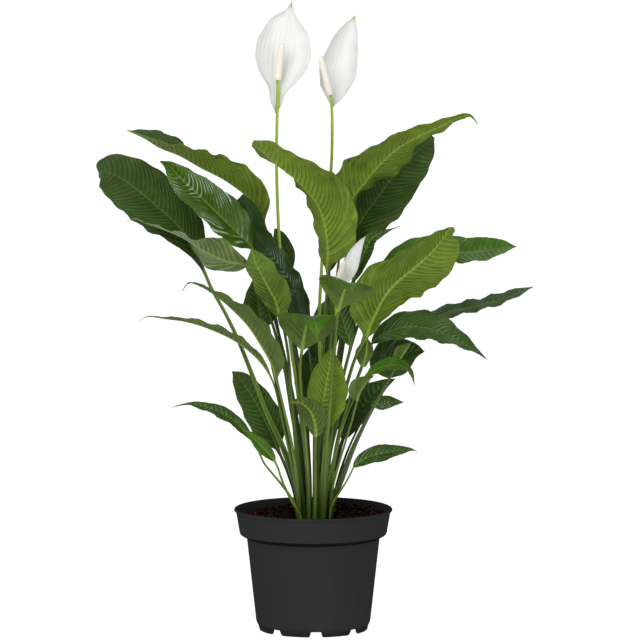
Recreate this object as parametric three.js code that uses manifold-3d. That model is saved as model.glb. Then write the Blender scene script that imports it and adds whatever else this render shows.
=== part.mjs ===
// Potted peace lily: a clump of leaves with three blooms, in soil, in a black plastic grower's pot.
// Millimetres, +Z up. The origin is on the pot's axis, at the foot of the pot. The front is -Y.
import * as THREE from "three";
import { mergeVertices } from "three/addons/utils/BufferGeometryUtils.js";
import Module from "manifold-3d";

const wasm = await Module();
wasm.setup();

// The pot: outer radii and heights, wall and floor.
const RIM_RADIUS = 120;
const POT_HEIGHT = 185;
const LIP = 3;
const COLLAR_TOP_RADIUS = 117;
const COLLAR_LOW_RADIUS = 111.5;
const COLLAR_LOW = 148;
const BODY_TOP = 141.5;
const BODY_TOP_RADIUS = 100.8;
const BODY_LOW = 12;
const BODY_LOW_RADIUS = 86.5;
const FOOT_TOP = 8;
const FOOT_TOP_RADIUS = 84;
const FOOT_RADIUS = 82;
const FOOT_WIDTH = 3;
const WALL = 2;
const FLOOR_LOW = 11;
const FLOOR = 2.5;
const NOTCHES = 8;
const NOTCH_TURN = 2.9;
const NOTCH_HEIGHT = 8.5;
const NOTCH_TOP = 15;
const NOTCH_BOTTOM = 27;
const DRAIN_RADIUS = 5;
const DRAIN_CIRCLE = 66;
const POT_SIDES = 36;

// The soil: its height at the wall and in the middle, and its clearance.
const GAP = 0.45;
const SOIL_EDGE = 172;
const SOIL_MOUND = 3;
const SOIL_ROUGH = 1.7;
const SOIL_RINGS = 5;

// Leaves and blooms.
const FOOT_DEPTH = 148;
const BLADE = 0.8;
const STEP_BLADE = 13;
const STEP_STEM = 52;
const STEP_STALK = 30;
const SEAT = 0.6;
const SPIKE_SIDES = 10;
const SPIKE_ROWS = 10;
const WAVE_LENGTH = 36;
const HOLE_GAP = 0.45;
const HOLE_TOP = 200;

// Points of stems and blades are given as they are seen from the front: x and z are where the
// line of sight crosses the plane y = 0, and y is the point's real depth.
const EYE = new THREE.Vector3(10.2, -7500, 1279);
const TO_EYE = new THREE.Vector3(0, -1, 0);

const COLOURS = {
  leaf: new THREE.MeshStandardMaterial({ color: 0x3f6a22, roughness: 0.42, metalness: 0 }),
  spathe: new THREE.MeshStandardMaterial({ color: 0xf1f1ee, roughness: 0.5, metalness: 0 }),
  spadix: new THREE.MeshStandardMaterial({ color: 0xeee2cc, roughness: 0.8, metalness: 0 }),
  pot: new THREE.MeshStandardMaterial({ color: 0x232324, roughness: 0.55, metalness: 0 }),
  soil: new THREE.MeshStandardMaterial({ color: 0x2d1a10, roughness: 0.95, metalness: 0 }),
};

const plant = new THREE.Group();

function put(name, geometry, material) {
  const mesh = new THREE.Mesh(geometry, material);
  mesh.name = name;
  plant.add(mesh);
}

function seen([x, y, z]) {
  const push = -y / EYE.y;
  return new THREE.Vector3(x + (x - EYE.x) * push, y, z + (z - EYE.z) * push);
}

// A value, or values at even steps from 0 to 1, read at t.
function along(values, t) {
  if (typeof values === "number") {
    return values;
  }
  const place = t * (values.length - 1);
  const k = Math.min(Math.floor(place), values.length - 2);
  return THREE.MathUtils.lerp(values[k], values[k + 1], THREE.MathUtils.smoothstep(place - k, 0, 1));
}

// A smooth course through points, measured along its length.
function course(points, bladeFrom) {
  const curve = new THREE.CatmullRomCurve3(points.map(seen), false, "centripetal");
  const per = 20;
  curve.arcLengthDivisions = per * (points.length - 1);
  const lengths = curve.getLengths();
  return { curve, length: curve.getLength(), start: lengths[per * bladeFrom] / curve.getLength() };
}

// Values at even steps from 0 to 1, read at t along a smooth curve through them.
function smoothRead(values, t) {
  const last = values.length - 1;
  const k = Math.min(Math.floor(t * last), last - 1);
  const f = t * last - k;
  const [a, b, c, d] = [k - 1, k, k + 1, k + 2].map((i) => values[THREE.MathUtils.clamp(i, 0, last)]);
  return b + 0.5 * f * (c - a + f * (2 * a - 5 * b + 4 * c - d + f * (3 * (b - c) + d - a)));
}

// The share of a blade's full half-width at t, from its base to its tip: a table of widths, or an arch.
function outline(t, { widths, peak, base, tip }) {
  if (widths) {
    return Math.max(smoothRead(widths, t), 0);
  }
  const u = t ** (Math.log(0.5) / Math.log(peak));
  return Math.max(Math.sin(Math.PI * u), 0) ** (t < peak ? base : tip);
}

// Side and upper directions of a blade at a point of its course. With no turn the upper side
// faces the viewer; a leaf that points at the viewer names the direction across it instead.
function frame(tangent, across, roll) {
  const side = across ? new THREE.Vector3(...across) : new THREE.Vector3().crossVectors(tangent, TO_EYE);
  side.addScaledVector(tangent, -side.dot(tangent)).normalize();
  const upper = new THREE.Vector3().crossVectors(side, tangent);
  const turn = THREE.MathUtils.degToRad(roll);
  return {
    side: side.clone().multiplyScalar(Math.cos(turn)).addScaledVector(upper, -Math.sin(turn)),
    upper: upper.clone().multiplyScalar(Math.cos(turn)).addScaledVector(side, Math.sin(turn)),
  };
}

// One section: the two margins and the midrib, above and below.
function section(at, { side, upper }, size) {
  const fold = THREE.MathUtils.degToRad(size.fold);
  const ring = [];
  const leftOut = side.clone().multiplyScalar(-Math.cos(fold)).addScaledVector(upper, Math.sin(fold));
  const leftUp = upper.clone().multiplyScalar(Math.cos(fold)).addScaledVector(side, Math.sin(fold));
  const rightOut = side.clone().multiplyScalar(Math.cos(fold)).addScaledVector(upper, Math.sin(fold));
  const rightUp = upper.clone().multiplyScalar(Math.cos(fold)).addScaledVector(side, -Math.sin(fold));
  const margin = (out, up, rise) => at.clone().addScaledVector(out, size.half).addScaledVector(up, rise);
  ring.push(margin(leftOut, leftUp, size.waveLeft + size.edge));
  ring.push(at.clone().addScaledVector(upper, size.above));
  ring.push(margin(rightOut, rightUp, size.waveRight + size.edge));
  ring.push(margin(rightOut, rightUp, size.waveRight - size.edge));
  ring.push(at.clone().addScaledVector(upper, -size.below));
  ring.push(margin(leftOut, leftUp, size.waveLeft - size.edge));
  return ring;
}

// A closed skin over six-point sections. Upper and lower faces are split along like diagonals.
function skin(rings) {
  const corners = rings[0].length;
  const index = [];
  for (let i = 0; i + 1 < rings.length; i += 1) {
    for (let k = 0; k < corners; k += 1) {
      const a = i * corners + k;
      const b = i * corners + ((k + 1) % corners);
      const c = b + corners;
      const d = a + corners;
      index.push(...(k === 3 || k === 4 ? [a, b, d, b, c, d] : [a, b, c, a, c, d]));
    }
  }
  const last = (rings.length - 1) * corners;
  for (let k = 1; k + 1 < corners; k += 1) {
    index.push(0, k + 1, k, last, last + k, last + k + 1);
  }
  const geometry = new THREE.BufferGeometry();
  const places = rings.flat().flatMap((p) => [p.x, p.y, p.z]);
  geometry.setAttribute("position", new THREE.Float32BufferAttribute(places, 3));
  geometry.setIndex(index);
  geometry.computeVertexNormals();
  return geometry;
}

// The round part of a section, for a stem of radius r, pressed to flat of its depth.
function stemSize(r, flat, grow) {
  const wide = r + grow;
  const deep = r * flat + grow;
  return { fold: 0, half: wide * 0.87, edge: deep / 2, above: deep, below: deep, waveLeft: 0, waveRight: 0 };
}

function stemRings(leaf, path, grow, stopHeight) {
  const rings = [];
  const steps = Math.max(5, Math.round((path.length * path.start) / leaf.stemStep));
  for (let i = 0; i < steps; i += 1) {
    const s = i / steps;
    const at = path.curve.getPointAt(s * path.start);
    const tangent = path.curve.getTangentAt(s * path.start);
    const r = THREE.MathUtils.lerp(leaf.girth[0], leaf.girth[1], THREE.MathUtils.smoothstep(s, 0, 1));
    if (grow > 0 && i === 0) {
      at.addScaledVector(tangent, -grow);
    }
    rings.push(section(at, frame(tangent, leaf.across, along(leaf.roll, 0)), stemSize(r, leaf.flat, grow)));
    if (at.z > stopHeight) {
      break;
    }
  }
  return rings;
}

function bladeRings(leaf, path) {
  const rings = [];
  const span = path.length * (1 - path.start);
  const steps = Math.max(7, Math.round(span / leaf.step));
  const waves = span / WAVE_LENGTH;
  for (let i = 0; i <= steps; i += 1) {
    const t = i / steps;
    const place = path.start + t * (1 - path.start);
    const at = path.curve.getPointAt(place);
    const tangent = path.curve.getTangentAt(place);
    const neck = leaf.girth[1] * (1 - t);
    const root = (1 - THREE.MathUtils.smoothstep(t, 0, 0.12));
    const swing = leaf.wave * Math.sin(Math.PI * t);
    rings.push(section(at, frame(tangent, leaf.across, along(leaf.roll, t)), {
      fold: along(leaf.fold, t) * (1 - root),
      half: Math.hypot(neck * 0.87, leaf.half * outline(t, leaf), 0.5),
      edge: THREE.MathUtils.lerp(BLADE / 2, neck * leaf.flat / 2, root),
      above: THREE.MathUtils.lerp(BLADE / 2, neck * leaf.flat, root),
      below: BLADE / 2 + neck * leaf.flat * 0.7,
      waveLeft: swing * Math.sin(2 * Math.PI * waves * t + leaf.phase),
      waveRight: swing * Math.sin(2 * Math.PI * waves * t + leaf.phase + 2.2),
    }));
  }
  return rings;
}

const LEAF_FORM = {
  half: 30, roll: 0, fold: 14, girth: [4.1, 2.2], flat: 0.68, wave: 2.5, phase: 0,
  peak: 0.42, base: 0.8, tip: 1.25, step: STEP_BLADE, stemStep: STEP_STEM,
};
const holes = [];

function leaf(name, form) {
  const whole = { ...LEAF_FORM, ...form };
  const foot = [...form.foot, FOOT_DEPTH];
  const path = course([foot, ...form.stem, ...form.blade], form.stem.length + 1);
  put(name, skin([...stemRings(whole, path, 0, Infinity), ...bladeRings(whole, path)]), COLOURS.leaf);
  holes.push(skin(stemRings(whole, path, HOLE_GAP, HOLE_TOP)));
}

// Leaves on the left, from the front of the clump to the back.
leaf("leaf_low_left_curl", {
  foot: [-14, -45], half: 11, roll: 30, fold: 15, girth: [2.4, 1.6], wave: 1,
  stem: [[-20, -50, 172], [-34, -60, 198], [-47, -68, 226], [-53, -70, 245]],
  blade: [[-58, -71, 256], [-70, -72, 270], [-84, -73, 284], [-97, -73, 298], [-109, -72, 306]],
});
leaf("leaf_low_left_thin", {
  foot: [-20, -37], half: 12, roll: 45, fold: 15, girth: [2.6, 1.4], wave: 1.5, tip: 1.7,
  stem: [[-28, -40, 190], [-49, -46, 222], [-65, -50, 241], [-75, -52, 254], [-84, -53, 275]],
  blade: [[-90, -54, 286], [-107, -54, 305], [-125, -54, 321], [-145, -53, 332], [-165, -52, 339],
    [-184, -50, 343], [-200, -48, 342], [-213, -47, 338]],
});
leaf("leaf_mid_left_light", {
  foot: [-20, -29], half: 33, roll: [112, 110, 104, 98], fold: [32, 30, 24, 18],
  widths: [0.1, 0.75, 0.95, 1, 1, 0.93, 0.76, 0.48, 0.28, 0.14, 0.02],
  stem: [[-22, -34, 210], [-32, -39, 280], [-43, -43, 330], [-50, -45, 360]],
  blade: [[-55, -47, 380], [-64, -50, 406], [-76, -53, 428], [-99, -57, 463], [-121, -58, 486],
    [-142, -58, 504], [-168, -58, 521], [-187, -60, 527], [-198, -64, 514]],
});
leaf("leaf_mid_left_thin", {
  foot: [-21, -20], half: 20, roll: 100, fold: 25, tip: 1.4, wave: 1.8, base: 1.1,
  stem: [[-24, -20, 205], [-36, -20, 270], [-48, -20, 325], [-55, -20, 358]],
  blade: [[-61, -20, 378], [-80, -22, 408], [-114, -26, 437], [-155, -30, 457], [-190, -34, 468],
    [-225, -37, 473], [-250, -40, 476], [-262, -42, 470]],
});
leaf("leaf_bright_left", {
  foot: [-13, -21], half: 30, roll: 146, fold: 12,
  widths: [0.1, 0.55, 0.85, 1, 1, 0.95, 0.9, 0.85, 0.72, 0.45, 0.02],
  stem: [[-16, -23, 200], [-25, -28, 270], [-33, -35, 360], [-38, -40, 420], [-45, -44, 460]],
  blade: [[-50, -45, 475], [-57, -46, 500], [-65, -47, 515], [-78, -48, 540], [-87, -48, 558],
    [-93, -44, 580]],
});
leaf("leaf_striped_left", {
  foot: [-13, -11], half: 40, roll: [141, 141, 100, 93, 93], fold: [11, 11, 4, 8, 8], tip: 1.5,
  stem: [[-16, -11, 200], [-26, -11, 300], [-44, -12, 400], [-66, -13, 480], [-84, -14, 535]],
  blade: [[-98, -15, 553], [-128, -17, 559], [-163, -19, 575], [-195, -21, 595], [-225, -23, 608],
    [-250, -24, 617], [-268, -25, 624], [-282, -26, 620]],
});
leaf("leaf_glossy_left", {
  foot: [-10, 3], half: 35, roll: [40, 35, 17, 3, -2], fold: [20, 21, 38, 40, 40], wave: 2,
  widths: [0.1, 0.7, 0.92, 1, 1, 0.97, 0.93, 0.86, 0.7, 0.4, 0.03],
  stem: [[-13, 4, 200], [-22, 5, 300], [-40, 6, 400], [-60, 7, 480], [-78, 7, 545]],
  blade: [[-92, 6, 580], [-112, 4, 600], [-140, 1, 628], [-160, -1, 648], [-180, -3, 668],
    [-203, -5, 690], [-216, -6, 704], [-230, -6, 711]],
});
leaf("leaf_far_left", {
  foot: [-21, -2], half: 45, roll: [60, 25, 18, 13, 12], fold: [20, 25, 18, 13, 12], girth: [7, 3.6],
  flat: 0.5, wave: 2, widths: [0.05, 0.38, 0.64, 0.83, 0.95, 1, 0.99, 0.93, 0.8, 0.57, 0.18],
  stem: [[-22, -1, 200], [-45, 2, 275], [-68, 5, 325], [-90, 9, 382], [-113, 14, 440],
    [-134, 19, 484], [-153, 24, 518]],
  blade: [[-166, 28, 548], [-200, 31, 609], [-240, 34, 647], [-275, 39, 676], [-300, 48, 691],
    [-315, 60, 695], [-322, 76, 693]],
});
leaf("leaf_dark_arch", {
  foot: [2, 14], half: 29, roll: [-53, -50, -46], fold: 3,
  widths: [0.1, 0.75, 0.95, 1, 1, 1, 1, 1, 0.97, 0.86, 0.45],
  stem: [[2, 14, 250], [1, 13, 340], [-4, 11, 410]],
  blade: [[-11, 10, 450], [-19, 9, 484], [-30, 6, 521], [-54, 7, 559], [-82, 12, 597],
    [-98, 17, 636], [-111, 23, 656]],
});
leaf("leaf_dark_mid_left", {
  foot: [-19, 9], half: 29, roll: 20, fold: 12, wave: 1.5,
  stem: [[-22, 9, 210], [-34, 9, 280], [-50, 9, 350], [-64, 9, 410], [-72, 9, 440]],
  blade: [[-76, 9, 456], [-81, 9, 485], [-85, 10, 510], [-90, 12, 538]],
});
leaf("leaf_upper_left", {
  foot: [-4, 22], half: 46, roll: [116, 114, 108, 84, 88], fold: [30, 33, 32, 34, 18], wave: 3,
  widths: [0.12, 0.6, 0.86, 0.95, 0.92, 0.85, 0.8, 0.78, 0.68, 0.44, 0.04],
  stem: [[-6, 24, 250], [-14, 28, 350], [-30, 34, 450], [-48, 40, 530], [-64, 44, 590]],
  blade: [[-74, 45, 614], [-92, 46, 650], [-130, 44, 681], [-170, 38, 702], [-200, 28, 719],
    [-230, 16, 731], [-255, 4, 746], [-279, -6, 757]],
});
leaf("leaf_low_left_dark", {
  foot: [-21, 19], half: 27, roll: [15, 10, 5], fold: 12, wave: 1.5,
  widths: [0.1, 0.6, 0.85, 0.97, 1, 0.97, 0.9, 0.8, 0.66, 0.44, 0.04],
  stem: [[-26, 19, 200], [-37, 19, 235], [-48, 19, 262]],
  blade: [[-54, 19, 275], [-68, 18, 308], [-84, 18, 340], [-100, 18, 366], [-113, 20, 384],
    [-122, 24, 393]],
});
leaf("leaf_small_back_left", {
  foot: [-8, 41], half: 18, roll: 10, fold: 12, wave: 1.5, tip: 0.9,
  stem: [[-12, 48, 250], [-24, 57, 380], [-35, 63, 490]],
  blade: [[-41, 66, 538], [-45, 69, 568], [-51, 75, 596], [-58, 85, 610]],
});

// Leaves in the middle.
leaf("leaf_front_small", {
  foot: [2, -44], half: 21, roll: 163, fold: 12, wave: 1.2,
  stem: [[3, -47, 200], [3, -50, 250], [3, -53, 280]],
  blade: [[4, -55, 293], [3, -62, 313], [-3, -72, 330], [-11, -83, 340], [-22, -94, 346],
    [-36, -104, 346]],
});
leaf("leaf_front_light", {
  foot: [8, -36], half: 37, roll: 145, fold: 11, tip: 0.85, wave: 1.5, peak: 0.48,
  stem: [[8, -38, 200], [6, -41, 250], [7, -44, 280]],
  blade: [[9, -47, 298], [13, -53, 334], [20, -60, 374], [25, -66, 404], [28, -72, 427]],
});
leaf("leaf_front_folded", {
  foot: [-6, -36], half: 45, roll: 0, fold: [10, 4, -2, 12], across: [-1, 0, 0.03], tip: 1.5,
  peak: 0.4, base: 1.3,
  stem: [[-7, -38, 220], [-12, -42, 290], [-17, -46, 350], [-20, -48, 400]],
  blade: [[-17, -50, 425], [-13, -57, 450], [-8, -72, 472], [-1, -96, 476], [4, -116, 462],
    [6, -126, 438]],
});
leaf("leaf_front_winged", {
  foot: [14, -45], half: 42, roll: 0, fold: [10, 8, 8, 0], across: [-1, 0, 0.2], tip: 1.2, peak: 0.52,
  base: 1.3,
  stem: [[16, -53, 210], [21, -64, 290], [26, -74, 350], [30, -81, 410], [35, -87, 462]],
  blade: [[38, -90, 484], [43, -97, 503], [48, -108, 519], [51, -122, 527], [55, -134, 525],
    [59, -141, 514]],
});
leaf("leaf_striped_middle", {
  foot: [16, -28], half: 20, roll: 30, fold: 12, tip: 1, wave: 1.5,
  stem: [[19, -29, 220], [28, -30, 300], [40, -32, 360], [50, -33, 405]],
  blade: [[56, -34, 432], [50, -34, 452], [43, -34, 474], [37, -33, 498], [35, -31, 520],
    [36, -28, 540]],
});
leaf("leaf_centre_big", {
  foot: [3, -13], half: 52, roll: [138, 140, 135, 130, 148], fold: [32, 30, 35, 40, 21],
  girth: [3.6, 2.6], wave: 2.6, widths: [0.1, 0.72, 0.88, 1, 1, 0.94, 0.77, 0.62, 0.53, 0.42, 0.12],
  stem: [[6, -14, 250], [10, -15, 350], [16, -16, 450], [21, -17, 520]],
  blade: [[22, -18, 552], [21, -22, 585], [15, -28, 624], [4, -36, 649], [-14, -46, 671],
    [-34, -56, 690], [-56, -62, 706], [-76, -60, 725], [-92, -50, 738]],
});

// Leaves on the right, from the front of the clump to the back.
leaf("leaf_low_right", {
  foot: [23, -36], half: 15, roll: -40, fold: 8, girth: [1.8, 1.3], wave: 1.2,
  stem: [[28, -40, 188], [36, -44, 203], [45, -48, 217], [54, -52, 232]],
  blade: [[61, -54, 247], [76, -55, 259], [95, -57, 266], [115, -59, 270], [135, -60, 273],
    [148, -60, 274], [157, -60, 271]],
});
leaf("leaf_small_light_right", {
  foot: [24, -28], half: 23, roll: -120, fold: 33, girth: [3, 1.8], wave: 1,
  stem: [[27, -36, 205], [38, -52, 250], [50, -64, 290], [60, -73, 325]],
  blade: [[66, -78, 348], [72, -81, 363], [81, -84, 376], [92, -87, 387]],
});
leaf("leaf_small_folded_right", {
  foot: [16, -37], half: 16, roll: -60, fold: 10, girth: [2.6, 1.6], wave: 1, tip: 1.5,
  stem: [[22, -41, 220], [36, -47, 280], [52, -51, 330], [68, -54, 365]],
  blade: [[81, -55, 386], [96, -55, 396], [113, -56, 402], [130, -58, 402], [143, -60, 396],
    [150, -61, 384], [153, -62, 372]],
});
leaf("leaf_upright_right", {
  foot: [25, -20], half: 17, roll: -160, fold: 35, girth: [3.6, 2], wave: 1,
  stem: [[27, -23, 215], [36, -31, 285], [52, -34, 345], [67, -34, 382]],
  blade: [[74, -34, 400], [79, -34, 414], [81, -34, 430], [80, -33, 450]],
});
leaf("leaf_small_back_right", {
  foot: [21, -11], half: 16, roll: -130, fold: 32, girth: [8, 2.6], flat: 0.4, wave: 1,
  stem: [[28, -12, 190], [45, -14, 235], [60, -18, 275], [80, -23, 318], [104, -27, 362],
    [118, -29, 388]],
  blade: [[126, -29, 404], [134, -29, 416], [141, -28, 427], [148, -26, 438]],
});
leaf("leaf_right_big", {
  foot: [11, -11], half: 50, roll: [-140, -155, -190, -204, -210], fold: [38, 28, 43, 40, 45],
  girth: [3.6, 2.8], wave: 2, widths: [0.1, 0.68, 0.88, 0.97, 1, 1, 0.97, 0.9, 0.78, 0.58, 0.12],
  stem: [[14, -14, 200], [24, -20, 260], [36, -26, 318], [50, -32, 370], [64, -38, 415]],
  blade: [[79, -42, 446], [92, -45, 475], [106, -49, 503], [124, -54, 526], [152, -62, 550],
    [178, -70, 573], [195, -76, 594], [204, -76, 607], [212, -72, 611]],
});
leaf("leaf_right_glossy", {
  foot: [20, -3], half: 32, roll: -53, fold: 9, tip: 1.3, wave: 2.5,
  stem: [[26, -4, 220], [38, -5, 290], [54, -5, 350], [73, -4, 400]],
  blade: [[89, -4, 436], [107, -6, 450], [131, -10, 459], [153, -14, 461], [182, -20, 456],
    [208, -26, 446], [235, -32, 431], [263, -40, 411]],
});
leaf("leaf_upper_right", {
  foot: [10, -2], half: 45, wave: 2.6, roll: [-129, -129, -132, -132, -136, -133, -144, -135, -120],
  fold: [31, 31, 25, 0, -5, 14, 8, 6, 5],
  widths: [0.1, 0.85, 1.05, 1.1, 0.97, 0.76, 0.5, 0.33, 0.22, 0.12, 0.02],
  stem: [[12, -2, 250], [18, -2, 350], [27, -1, 450], [36, 1, 540], [43, 2, 590]],
  blade: [[50, 3, 625], [60, 4, 655], [80, 5, 681], [100, 5, 706], [128, 4, 731], [158, 2, 748],
    [190, 0, 763], [219, -4, 777], [236, -6, 779], [247, -8, 767]],
});
leaf("leaf_right_tip", {
  foot: [17, 4], half: 28, roll: -48, fold: 12, wave: 2,
  widths: [0.1, 0.6, 0.85, 1, 1, 0.98, 0.95, 0.9, 0.8, 0.52, 0.02],
  stem: [[23, 5, 250], [36, 6, 340], [54, 7.5, 420], [73, 9.5, 480], [92, 11.5, 532]],
  blade: [[105, 13.5, 556], [130, 15.5, 566], [160, 17.5, 573], [190, 18.5, 575], [215, 18.5, 574],
    [240, 17.5, 574], [265, 16.5, 577], [290, 15.5, 581], [306, 15, 582]],
});
leaf("leaf_twisted_right", {
  foot: [15, 12], half: 13, roll: -20, fold: 15, wave: 1.5, tip: 1.8,
  stem: [[20, 13, 250], [30, 9, 350], [41, 0, 440], [53, -8, 510]],
  blade: [[60, -11, 530], [70, -14, 556], [79, -16, 578], [88, -16, 594], [99, -16, 601],
    [112, -15, 606], [130, -14, 613]],
});
leaf("leaf_small_right_dark", {
  foot: [25, 5], half: 12, roll: -35, fold: 10, wave: 0.8, girth: [2.4, 1.5],
  stem: [[31, 6, 200], [44, 8, 250], [62, 10, 295], [78, 11, 325]],
  blade: [[88, 12, 340], [103, 12, 344], [120, 12, 346], [137, 12, 346]],
});
leaf("leaf_far_right", {
  foot: [24, 14], half: 21, roll: -68, fold: 5, wave: 2.2,
  widths: [0.1, 0.8, 0.98, 1, 0.96, 0.92, 0.9, 0.86, 0.74, 0.48, 0.05],
  stem: [[29, 16, 220], [45, 22, 290], [69, 28, 350], [101, 34, 410], [136, 38, 450]],
  blade: [[160, 40, 466], [180, 41, 474], [205, 42, 483], [235, 42, 490], [265, 41, 497],
    [295, 40, 507], [315, 40, 515], [331, 40, 521]],
});
leaf("leaf_dark_right", {
  foot: [12, 20], half: 31, roll: -16, fold: 10, wave: 2, tip: 1,
  stem: [[20, 24, 240], [36, 32, 310], [56, 38, 350], [76, 43, 380]],
  blade: [[88, 46, 396], [110, 48, 408], [132, 49, 418], [152, 50, 424], [168, 50, 423]],
});
leaf("leaf_low_right_dark", {
  foot: [20, 25], half: 28, roll: -42, fold: 20, wave: 1.5, tip: 1,
  stem: [[25, 28, 200], [32, 32, 240], [38, 34, 268]],
  blade: [[44, 36, 290], [58, 40, 314], [75, 42, 338], [92, 44, 358], [108, 45, 372], [124, 46, 382]],
});
leaf("leaf_dark_upper_right", {
  foot: [9, 29], half: 46, roll: -12, fold: 12, girth: [3.4, 2.4], wave: 3,
  widths: [0.1, 0.55, 0.78, 0.92, 1, 1, 0.97, 0.9, 0.76, 0.52, 0.08],
  stem: [[13, 30, 250], [21, 32, 350], [31, 36, 450], [43, 42, 530], [49, 44, 562]],
  blade: [[54, 47, 582], [64, 51, 606], [80, 54, 633], [100, 56, 660], [125, 57, 695],
    [150, 59, 720], [170, 62, 738], [180, 66, 748]],
});

// Leaves at the back, which the front ones hide for the most part.
leaf("leaf_back_low", {
  foot: [-4, 31], half: 25, roll: 0, fold: 12, wave: 1.5,
  stem: [[-6, 33, 220], [-8, 38, 290], [-9, 43, 330]],
  blade: [[-10, 58, 345], [-8, 72, 368], [-3, 86, 392], [4, 98, 416], [11, 106, 440], [16, 111, 454]],
});
leaf("leaf_back_middle", {
  foot: [1, 38], half: 24, roll: 0, fold: 14, wave: 2,
  stem: [[4, 43, 250], [9, 50, 340], [13, 56, 385]],
  blade: [[15, 62, 408], [18, 72, 440], [21, 87, 468], [23, 107, 488], [24, 128, 494], [24, 144, 486]],
});
leaf("leaf_back_tall", {
  foot: [9, 42], half: 22, roll: 0, fold: 14, wave: 2, across: [1, 0, 0],
  stem: [[15, 43, 300], [21, 44, 400], [24, 46, 480], [24, 50, 520]],
  blade: [[24, 55, 545], [27, 66, 585], [31, 84, 622], [35, 106, 646], [40, 127, 650], [45, 145, 640]],
});
leaf("leaf_back_left", {
  foot: [-14, 34], half: 20, roll: 45, fold: 14, wave: 2,
  stem: [[-18, 42, 240], [-34, 56, 340], [-50, 70, 440], [-66, 82, 520]],
  blade: [[-78, 90, 560], [-95, 102, 596], [-118, 118, 622], [-145, 132, 640], [-170, 142, 652]],
});
leaf("leaf_back_right", {
  foot: [18, 38], half: 28, roll: -20, fold: 14, wave: 2.5,
  stem: [[22, 45, 260], [37, 55, 380], [56, 68, 500], [71, 78, 580]],
  blade: [[80, 84, 616], [98, 94, 656], [118, 108, 686], [138, 126, 702], [152, 143, 704]],
});

// A flower stem: a plain round stalk that stands in the soil.
function stalk(name, form) {
  const path = course([[...form.foot, FOOT_DEPTH], ...form.stem], form.stem.length);
  const whole = { girth: form.girth, flat: 1, roll: 0, stemStep: STEP_STALK };
  const rings = stemRings(whole, path, 0, Infinity);
  const tangent = path.curve.getTangentAt(1);
  rings.push(section(path.curve.getPointAt(1), frame(tangent, null, 0), stemSize(form.girth[1], 1, 0)));
  put(name, skin(rings), COLOURS.leaf);
  holes.push(skin(stemRings(whole, path, HOLE_GAP, HOLE_TOP)));
}

// The white hood: a blade with a broad base whose margins run down its stalk.
function spathe(name, form) {
  const whole = { ...LEAF_FORM, girth: [1, 1], flat: 0.4, wave: 1.2, base: 1.05, tip: 1, peak: 0.46, ...form };
  const path = course(form.blade, 0);
  put(name, skin(bladeRings(whole, path)), COLOURS.spathe);
}

// The spike: a blunt rod on the end of its stalk, its florets raised by a formula.
function spadix(name, { from, to, radius }) {
  const low = seen(from);
  const high = seen(to);
  const axis = high.clone().sub(low).normalize();
  low.addScaledVector(axis, SEAT);
  const length = high.distanceTo(low);
  const side = new THREE.Vector3().crossVectors(axis, TO_EYE).normalize();
  const upper = new THREE.Vector3().crossVectors(side, axis);
  const rings = [];
  for (let i = 0; i <= SPIKE_ROWS; i += 1) {
    const t = i / SPIKE_ROWS;
    const dome = Math.sqrt(Math.max(1 - Math.max((t - 0.86) / 0.14, 0) ** 2, 0.06));
    const waist = THREE.MathUtils.lerp(0.82, 1, THREE.MathUtils.smoothstep(t, 0, 0.12));
    const ring = [];
    for (let k = 0; k < SPIKE_SIDES; k += 1) {
      const floret = (i + k) % 2 === 0 ? 1.06 : 0.94;
      const r = radius * dome * waist * (1 - 0.12 * t) * floret;
      const angle = (-2 * Math.PI * k) / SPIKE_SIDES;
      const at = low.clone().addScaledVector(axis, length * t);
      ring.push(at.addScaledVector(side, r * Math.cos(angle)).addScaledVector(upper, r * Math.sin(angle)));
    }
    rings.push(ring);
  }
  put(name, skin(rings), COLOURS.spadix);
}

stalk("bloom_left_stem", {
  foot: [-6, 12], girth: [2.8, 2.2],
  stem: [[-10, 18, 250], [-22, 26, 350], [-35, 32, 440], [-45, 34, 520], [-51, 34, 590],
    [-55, 33, 700], [-54.5, 32, 760], [-53.5, 31, 800], [-53, 28, 833]],
});
spathe("bloom_left_hood", {
  half: 46, roll: 0, fold: [20, 30, 24, 20, 10], wave: 1.6,
  widths: [0.03, 0.21, 0.36, 0.7, 0.93, 1, 0.97, 0.84, 0.62, 0.2, 0],
  blade: [[-55.3, 34.6, 783], [-54.5, 35, 804], [-51, 38, 830], [-46.5, 43, 862], [-43, 46, 895],
    [-39, 44, 922], [-34.5, 40, 938], [-32, 35, 951]],
});
spadix("bloom_left_spike", { from: [-53, 28, 833], to: [-46.5, 20, 889], radius: 5.8 });

stalk("bloom_right_stem", {
  foot: [2, 5], girth: [2.8, 2.2],
  stem: [[10, 9, 250], [12, 18, 350], [9, 27, 470], [12, 33, 540], [16, 37, 600], [23, 40, 660],
    [27.5, 40, 710], [28.5, 38, 750], [28, 34, 790], [26, 29, 811]],
});
spathe("bloom_right_hood", {
  half: 36, roll: [-6, -2, 2, 6], fold: [20, 38, 42, 30],
  widths: [0.05, 0.4, 0.74, 0.95, 1, 0.96, 0.88, 0.76, 0.58, 0.3, 0],
  blade: [[28.4, 35.8, 793], [32, 43, 811], [36, 50, 838], [42, 55, 870], [51, 53, 902], [63, 46, 930]],
});
spadix("bloom_right_spike", { from: [26, 29, 811], to: [10.5, 14, 870], radius: 5.2 });

stalk("bloom_low_stem", {
  foot: [8, -27], girth: [2.6, 2],
  stem: [[12, -31, 220], [20, -36, 300], [29, -42, 380], [34, -48, 450], [34, -55, 500], [35, -60, 524]],
});
spathe("bloom_low_hood", {
  half: 13, roll: 0, fold: [10, 30, 20], wave: 0.6,
  blade: [[34.6, -54.2, 512], [44, -50, 530], [55, -48, 551], [63, -47, 572], [71, -45, 587], [79, -43, 598]],
});
spadix("bloom_low_spike", { from: [35, -60, 524], to: [47, -66, 561], radius: 4.4 });

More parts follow.
